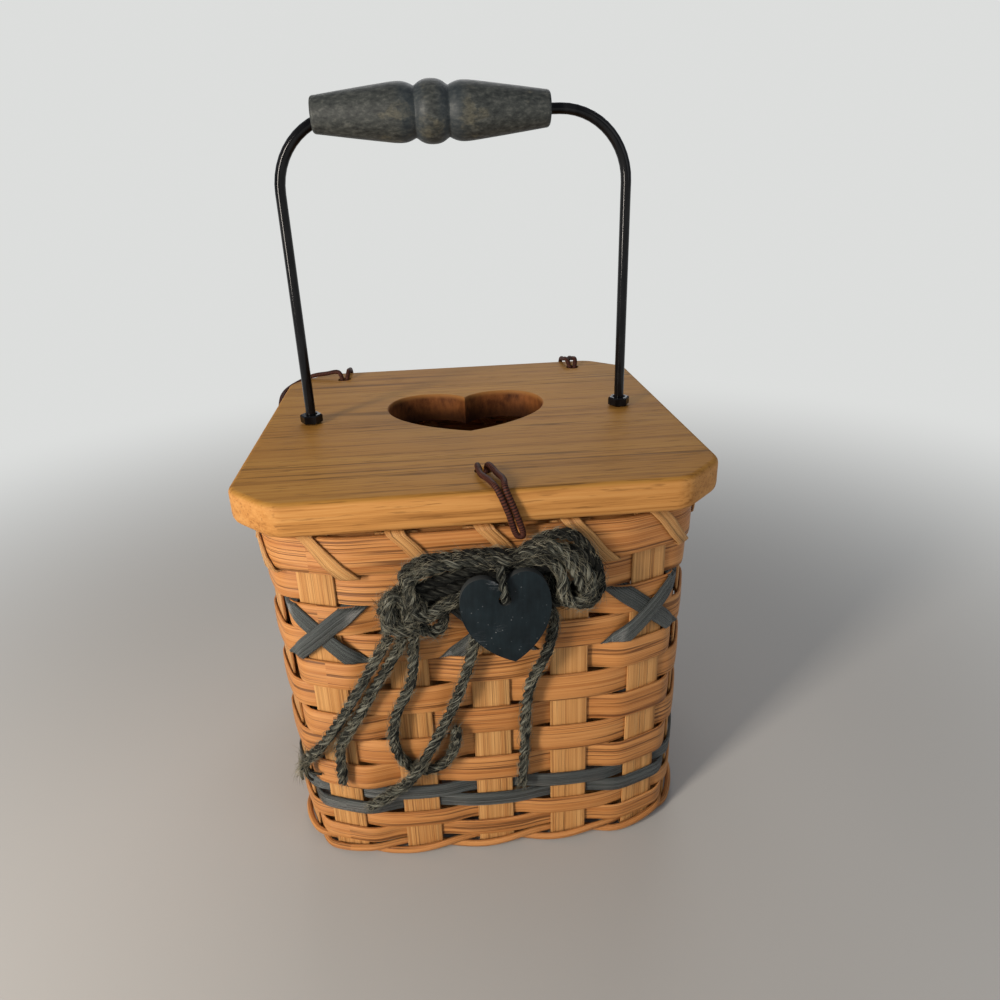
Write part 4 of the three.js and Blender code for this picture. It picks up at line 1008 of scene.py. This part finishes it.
def burnt_finish():
    """Sawn and scorched wall of the heart opening, with painted shade darkening it lower down."""
    f = Finish("sawn_edge", 0.15, 0.65)
    saw = f.noise("Object", (500, 500, 260), 3, 0.6)
    tone = f.noise("Object", (70, 70, 90))
    height = f.axis("Z")
    # Painted shade: the wall turns near black deeper in the opening.
    low = 1 - height.above((LID_LOW + 1) * MM, (LID_TOP - 3) * MM)
    rim = height.above((LID_TOP - 2.2) * MM, (LID_TOP - 0.1) * MM)
    colour = f.ramp(saw * 0.4 + tone * 0.6, (0.34, (0.045, 0.012, 0.003)), (0.62, (0.21, 0.07, 0.018)))
    colour = f.mix(low * 0.8, colour, (0.02, 0.006, 0.002))
    colour = f.mix(rim * 0.9, colour, (0.3, 0.13, 0.036))
    return f.wear(colour, None, saw, 0.0003, 0.6)


LID_WOOD = lid_finish()
SAWN = burnt_finish()
LID_CORNER = 14.5
CORNER_ROUND = 4
TOP_ROUND = 2.0
LOW_ROUND = 3.0
OPENING = heart(61, 50) + (0, -20)
WIRE_HOLE = 2.1
TIE_HOLE = 2.9


def in_opening(point):
    """Whether a point in millimetres lies in the heart opening or on its rim."""
    return abs(point.x) < 33 and -22 < point.y < 32


def both_in(a, b):
    return in_opening(a) and in_opening(b)


def upright(a, b):
    return abs(a.z - b.z) > 5


def lid_board():
    select()
    bpy.ops.mesh.primitive_cube_add(size=1, location=(0, 0, (LID_LOW + LID_TOP) / 2 * MM),
                                    scale=(2 * LID_HALF * MM, 2 * LID_HALF * MM, (LID_TOP - LID_LOW) * MM))
    lid = bpy.context.object
    lid.name = lid.data.name = "lid_board"
    bpy.ops.object.transform_apply(location=True, rotation=True, scale=True)
    bevel_edges(lid, upright, LID_CORNER, 1)
    bevel_edges(lid, upright, CORNER_ROUND, 4)
    bevel_edges(lid, lambda a, b: min(a.z, b.z) > LID_TOP - 0.1, TOP_ROUND, 5)
    bevel_edges(lid, lambda a, b: max(a.z, b.z) < LID_LOW + 0.1, LOW_ROUND, 5)
    cut_away(lid, prism("heart_cutter", OPENING * MM, (LID_LOW - 5) * MM, (LID_TOP + 5) * MM))
    bevel_edges(lid, lambda a, b: both_in(a, b) and min(a.z, b.z) > LID_TOP - 0.01, 1.6, 4)
    bevel_edges(lid, lambda a, b: both_in(a, b) and max(a.z, b.z) < LID_LOW + 0.01, 0.7, 2)
    for x in (-BAIL_HALF, BAIL_HALF):
        drill(lid, (x, 0, LID_TOP), WIRE_HOLE, 30, 32)
    for x, y in TIE_HOLES.values():
        drill(lid, (x, y, LID_TOP), TIE_HOLE, 30, 32)
    finish_piece(lid, "lid", LID_WOOD, "lid_board", "lid")
    second_material(lid, SAWN, lambda face: abs(face.normal.z) < 0.97 and in_opening(face.center / MM))
    smooth_by_angle(lid, 32)


lid_board()


# Bail, nuts and grip

BAIL_BEND = 23.0
BAIL_END = LID_LOW - 4.7
WIRE_RADIUS = 1.8
GRIP_HALF = 38.5
GRIP_SHIFT = -6.7

# Profile of half the grip, as distance from its end and radius
GRIP_MOUTH = [(9, 2.2), (6, 2.9), (3, 3.8), (0, 4.7)]
GRIP_PROFILE = [
    (0, 4.95), (0.25, 5.3), (0.8, 5.6), (2, 5.75), (9, 6.7), (17, 7.75), (23, 8.5), (26, 8.85), (28, 8.95),
    (29.6, 8.85), (31, 8.5), (32.2, 8.0), (32.8, 7.7), (33.2, 7.7), (33.9, 8.15), (34.8, 8.75), (36, 9.25),
    (37.2, 9.5), (38.5, 9.58),
]


def wire_finish():
    f = Finish("black_wire", 0.2)
    scuff = f.noise("Object", (260, 260, 90), 3, 0.6)
    colour = f.ramp(scuff, (0.4, (0.002, 0.002, 0.0025)), (0.8, (0.01, 0.01, 0.011)))
    return f.wear(colour, scuff * 0.08 + 0.08)


def grip_finish():
    """Grey paint worn to bare wood in patches, with two bluer rings."""
    f = Finish("worn_grip", 0.3)
    grain = f.noise("Object", (480, 900, 900), 4, 0.7)
    patch = f.noise("Object", (95, 130, 130), 4, 0.65)
    fine = f.noise("Object", (420, 700, 700), 3, 0.6)
    radius = f.length(f.place("Object", (0, 1, 1), (0, 0, -GRIP_LEVEL * MM)))
    proud = radius.above(7.2 * MM, 9.1 * MM)
    along = f.axis("X")
    blue = along.near(-13 * MM, 6 * MM) + along.near(-0.4 * MM, 6 * MM)
    paint = f.ramp(grain * 0.5 + fine * 0.5, (0.36, (0.013, 0.015, 0.015)),
                   (0.52, (0.037, 0.04, 0.037)), (0.7, (0.095, 0.097, 0.086)))
    worn = (patch + proud * 0.12 + fine * 0.12 - 0.12).above(0.56, 0.68)
    bare = f.ramp(grain, (0.35, (0.05, 0.046, 0.032)), (0.65, (0.15, 0.135, 0.09)))
    colour = f.mix(worn * 0.5, paint, bare)
    colour = f.mix(blue * 0.35, colour, (0.018, 0.03, 0.042))
    return f.wear(colour, 0.62 - grain * 0.2, grain * 0.7 - worn * 0.25, 0.0002, 0.5)


WIRE = wire_finish()
GRIP = grip_finish()


def bail():
    turn = np.linspace(0, np.pi / 2, 14)
    knee = np.stack([np.cos(turn) - 1, 0 * turn, np.sin(turn) - 1], 1) * BAIL_BEND
    knee += (BAIL_HALF, 0, GRIP_LEVEL)
    rise = np.linspace(BAIL_END, GRIP_LEVEL - BAIL_BEND, 12, endpoint=False)
    leg = np.stack([np.full(len(rise), BAIL_HALF), 0 * rise, rise], 1)
    right = np.concatenate([leg, knee])
    path = np.concatenate([right * (-1, 1, 1), right[::-1]])
    wire = tube("bail_wire_rod", path * MM, WIRE_RADIUS * MM, 20)
    finish_piece(wire, "lid", WIRE, "black_wire", "bail_wire")


def dress_nuts():
    for name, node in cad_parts.items():
        if name.startswith("nut_"):
            dress(node, WIRE, "black_wire")


def turned_grip():
    """The profile mirrored to its full length and turned round the wire."""
    first = np.concatenate([GRIP_MOUTH, smooth(GRIP_PROFILE, 3)])
    second = (first * (-1, 1) + (2 * GRIP_HALF, 0))[-2::-1]
    profile = np.concatenate([first, second, first[:1]])
    turn = np.linspace(0, 2 * np.pi, 73)
    x = np.repeat(profile[:, :1], len(turn), 1) - GRIP_HALF + GRIP_SHIFT
    points = np.stack([x, profile[:, 1:] * np.cos(turn), profile[:, 1:] * np.sin(turn) + GRIP_LEVEL], -1)
    finish_piece(skin("turned_grip", points * MM, (0, 0, 180, 60)), "grip", GRIP, "grip_wood", "grip")


bail()
dress_nuts()
turned_grip()


# Ties

LID_ROUND = 2.6
KNOT_RADIUS = 2.8
KNOT_SHIFT = 3.2
ON_LID = LID_TOP + CLEAR + CORD / 2
BESIDE_LID = LID_HALF + CLEAR + CORD / 2
SHOULDER = (LID_ROUND + CLEAR + CORD / 2) * math.sqrt(0.5)
OVER_EDGE = LID_HALF - LID_ROUND + SHOULDER
EDGE_LEVEL = LID_TOP - LID_ROUND + SHOULDER
KNOT_LEVEL = LID_LOW - CLEAR - KNOT_RADIUS
RIM_HOLD = RIM_LOW + 5.1
STRAND_RADIUS = 0.43 * CORD
STRAND_APART = 0.9
RIM_BEAD = 0.85 * CORD


def elastic(name, points):
    """One ribbed strand along points in millimetres."""
    return tube(name, smooth(points, 8) * MM, STRAND_RADIUS * MM, 12)


def bead(place, radius):
    select()
    bpy.ops.mesh.primitive_uv_sphere_add(segments=20, ring_count=12, radius=radius * MM,
                                         location=[v * MM for v in place])
    bpy.ops.object.transform_apply(location=True, rotation=True, scale=True)
    piece = bpy.context.object
    piece.data.shade_smooth()
    return piece


def front_side(side):
    """Half of the front loop, from the knot to near its tip: side is -1 on the left and 1 on the right."""
    x, y = TIE_HOLES["front"]
    return [
        (x + side * STRAND_APART, y, KNOT_LEVEL), (x + side * STRAND_APART, y, LID_TOP - 2),
        (x + CORD * (side * 0.75 - 0.1), y - 1.2, ON_LID + 0.9),
        (x + CORD * (side * 1.1 + 0.5), y - 6.9, ON_LID + 0.3),
        (x + CORD * (side * 0.95 + 1.3), y - 12.5, ON_LID + 0.4),
        (x + CORD * (side * 0.55 + 1.8), -OVER_EDGE - 0.2, EDGE_LEVEL + 0.2),
        (x + CORD * (side * 0.5 + 3), -BESIDE_LID - 0.2, LID_LOW + 5),
        (x + CORD * (side * 0.5 + 3.9), -BESIDE_LID - 0.4, LID_LOW - 1.6),
    ]


def front_tie():
    x, y = TIE_HOLES["front"]
    tip = (x + CORD * 4.1, -BESIDE_LID - 0.5, LID_LOW - 2.8)
    loop = elastic("front_tie_loop", [*front_side(-1), tip, *front_side(1)[::-1]])
    knot = bead((x, y, KNOT_LEVEL), KNOT_RADIUS)
    finish_piece(joined("front_tie_cord", [loop, knot]), "lid", ELASTIC, "tie_cord", "front_tie")


front_tie()


def back_start(hole, side):
    x, y = hole[0] + side * STRAND_APART, hole[1]
    return [(x, y - KNOT_SHIFT, KNOT_LEVEL), (x, y - 0.64, LID_LOW + 1), (x, y, LID_TOP - 2)]


def beside_rim(along):
    return -front_face(along, 4.05 + 2 * CLEAR + RIM_BEAD)


def over_back_edge(hole, side, drift):
    """Strand that runs straight back over the lid's edge and down to the rim."""
    x, y = hole[0] + CORD * side * 0.86, hole[1]
    aside = CORD * drift
    return back_start(hole, side) + [
        (x + aside * 0.2, y + 2, ON_LID + 1.54),
        (x + aside * 0.6, y + 7.5, ON_LID + 0.9),
        (x + aside * 0.8, OVER_EDGE + 0.2, EDGE_LEVEL + 0.2),
        (x + aside * 0.9, BESIDE_LID + 0.2, LID_LOW + 3.1),
        (x + aside, beside_rim(x + aside), RIM_HOLD),
    ]


def round_left_corner(hole):
    """Strand that swings out round the clipped corner and comes down the left side."""
    x, y = hole
    end = y - 20.4
    return back_start(hole, -1) + [
        (x - 2.4, y + 2.2, ON_LID + 1.4), (x - 8, y + 3.4, ON_LID + 0.9), (x - 14, y + 4, ON_LID + 0.1),
        (x - 19.5, y + 4.5, LID_TOP - 0.6), (x - 24, y + 1.5, LID_TOP - 2.3),
        (x - 26.6, y - 3, LID_TOP - 3.8), (x - 27.4, y - 9, LID_TOP - 5.8),
        (x - 26.8, y - 16, LID_LOW + 1.1), (-beside_rim(end), end, RIM_HOLD),
    ]


def back_tie(name, node, hole, strands):
    """A doubled cord from a knot under the lid to the outside of the rim."""
    pieces = [elastic(f"{name}_strand", points) for points in strands]
    pieces += [bead(points[-1], RIM_BEAD) for points in strands]
    pieces.append(bead((hole[0], hole[1] - KNOT_SHIFT, KNOT_LEVEL), KNOT_RADIUS))
    piece = joined(name, pieces)
    dress(piece, ELASTIC, "tie_cord", node)
    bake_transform(piece)


left, right = TIE_HOLES["left"], TIE_HOLES["right"]
back_tie("back_left_cord", "back_left_tie", left, [over_back_edge(left, 1, 0), round_left_corner(left)])
back_tie("back_right_cord", "back_right_tie", right, [over_back_edge(right, s, -0.73) for s in (-1, 1)])


# Tag

TAG_HANG = (4.5, -82.85, 111.8)
TAG_LEAN = -7
TAG_THICK = 2.6
TAG_HOLE = 1.9
TAG_OUTLINE = heart(27.2, 30.5) - (0, 22.1)
STRING = 2.4


def tag_finish():
    """Dark paint with pale specks and a few fine scratches."""
    f = Finish("dark_tag", 0.2)
    grain = f.noise("Object", (900, 900, 120), 4, 0.65)
    haze = f.noise("Object", (160, 160, 160), 3, 0.6)
    speck_values = {"Vector": f.place("Object", (700, 700, 700)), "Scale": 1.0}
    specks = f.node("ShaderNodeTexVoronoi", {"feature": "F1"}, speck_values)
    strokes = f.noise("Object", (130, 100, 1700), shift=(0.3, 0, 0.8), turn=(0, math.radians(9), 0))
    spread = f.noise("Object", (75, 75, 75), shift=(3.1, 0, 1.7))
    colour = f.ramp(grain * 0.45 + haze * 0.55, (0.35, (0.002, 0.005, 0.007)), (0.68, (0.008, 0.015, 0.019)))
    colour = f.mix((1 - specks.above(0.1, 0.16)) * haze.above(0.5, 0.62) * 0.5, colour, (0.24, 0.25, 0.26))
    scratch = strokes.near(0.5, 0.02) * spread.above(0.58, 0.7)
    colour = f.mix(scratch * 0.5, colour, (0.33, 0.34, 0.36))
    return f.wear(colour, 0.6 - haze * 0.25, grain * 0.4 - scratch * 0.4, 0.0001, 0.5)


def heart_tag():
    tag = prism("heart_plate", TAG_OUTLINE * MM, 0, TAG_THICK * MM)
    drill(tag, (0, 0, 0), TAG_HOLE, 20, 40)
    bevel_edges(tag, lambda a, b: abs(a.z - b.z) < 0.01, 0.32, 3)
    upright = Matrix.Rotation(math.radians(TAG_LEAN), 4, "Y") @ Matrix.Rotation(math.pi / 2, 4, "X")
    tag.data.transform(Matrix.Translation(Vector(TAG_HANG) * MM) @ upright)
    finish_piece(tag, "tag", tag_finish(), "tag_wood", "heart_tag")
    worn = Finish("tag_edge", 0.2, 0.75).wear((0.03, 0.032, 0.032))
    second_material(tag, worn, lambda face: abs(face.normal.y) < 0.35)
    smooth_by_angle(tag, 40)


def tag_string():
    """Two-ply string from over the front loop of the bow down to the tag's hole."""
    top = bow_path()[int(2.75 * BOW_STEPS * BOW_FINE)][2] / MM
    bow_front = BOW_DEPTH + BOW_STEP + TWINE / 2
    x, back, level = TAG_HANG
    front = back - TAG_THICK - CLEAR - STRING / 2
    route = [(x - 1, -bow_front - 1.5, top + 0.6), (x - 0.8, front + 0.6, top - 2.6),
             (x - 0.3, front - 0.4, level + 3.8), (x, front + 0.5, level + 0.7), (x, back - 0.5, level)]
    path = smooth(route, 10) * MM
    finish_piece(plied("tag_string_twine", path, 2, 6, STRING), "tag", JUTE, "bow_twine", "tag_string")
    finish_piece(fuzz("tag_string_fuzz", path, 1.5, 1.6, STRING / 2), "tag", FIBRE, "bow_twine")


heart_tag()
tag_string()


# Stage

BACKDROP = (0.72, 0.73, 0.72)
LAMP_AIM = (0, 0, 0.11)


def floor_finish():
    """Pale floor that fades with distance into the backdrop."""
    f = Finish("pale_floor", 0.15, 0.9)
    f.wear((0.42, 0.405, 0.385))
    away = f.length(f.where()).above(0.16, 0.62)
    glow = f.node("ShaderNodeEmission", {}, {"Color": BACKDROP})
    surface = f.node("ShaderNodeMixShader", {}, [away, Signal(f, f.shader.outputs[0]), glow])
    f.feed(f.tree.nodes["Material Output"].inputs["Surface"], surface)
    return f.material


def make_world():
    """Soft sky light, with the backdrop's colour behind the object."""
    world = bpy.data.worlds.new("studio")
    bpy.context.scene.world = world
    world.use_nodes = True
    sky = Nodes(world.node_tree)
    light = sky.tree.nodes["Background"]
    sky.feed(light.inputs["Color"], (0.86, 0.92, 1))
    sky.feed(light.inputs["Strength"], 0.3)
    behind = sky.node("ShaderNodeBackground", {}, {"Color": BACKDROP})
    seen = sky.node("ShaderNodeLightPath", {}, {}, "Is Camera Ray")
    surface = sky.node("ShaderNodeMixShader", {}, [seen, Signal(sky, light.outputs[0]), behind])
    sky.feed(sky.tree.nodes["World Output"].inputs["Surface"], surface)


def make_lamp(name, place, wide, tall, power, colour):
    lamp = bpy.data.lights.new(name, "AREA")
    lamp.energy = power
    lamp.shape = "RECTANGLE"
    lamp.size = wide
    lamp.size_y = tall
    lamp.color = colour
    light = bpy.data.objects.new(name, lamp)
    bpy.context.scene.collection.objects.link(light)
    light.location = place
    light.rotation_euler = (Vector(LAMP_AIM) - light.location).to_track_quat("-Z", "Y").to_euler()


def make_stage():
    select()
    bpy.ops.mesh.primitive_plane_add(size=60, location=(0, 0, -0.0001))
    floor = bpy.context.object
    floor.name = "floor"
    floor.data.materials.append(floor_finish())
    make_world()
    make_lamp("key", (-0.44, -0.43, 0.29), 0.1, 0.36, 4.7, (1, 0.92, 0.82))
    make_lamp("fill", (0.9, -0.8, 0.6), 0.8, 0.8, 2.0, (0.94, 0.97, 1))
    make_lamp("back", (0.12, 0.9, 0.8), 0.8, 0.8, 4.6, (1, 1, 1))
    bpy.context.scene.view_settings.view_transform = "Standard"


make_stage()
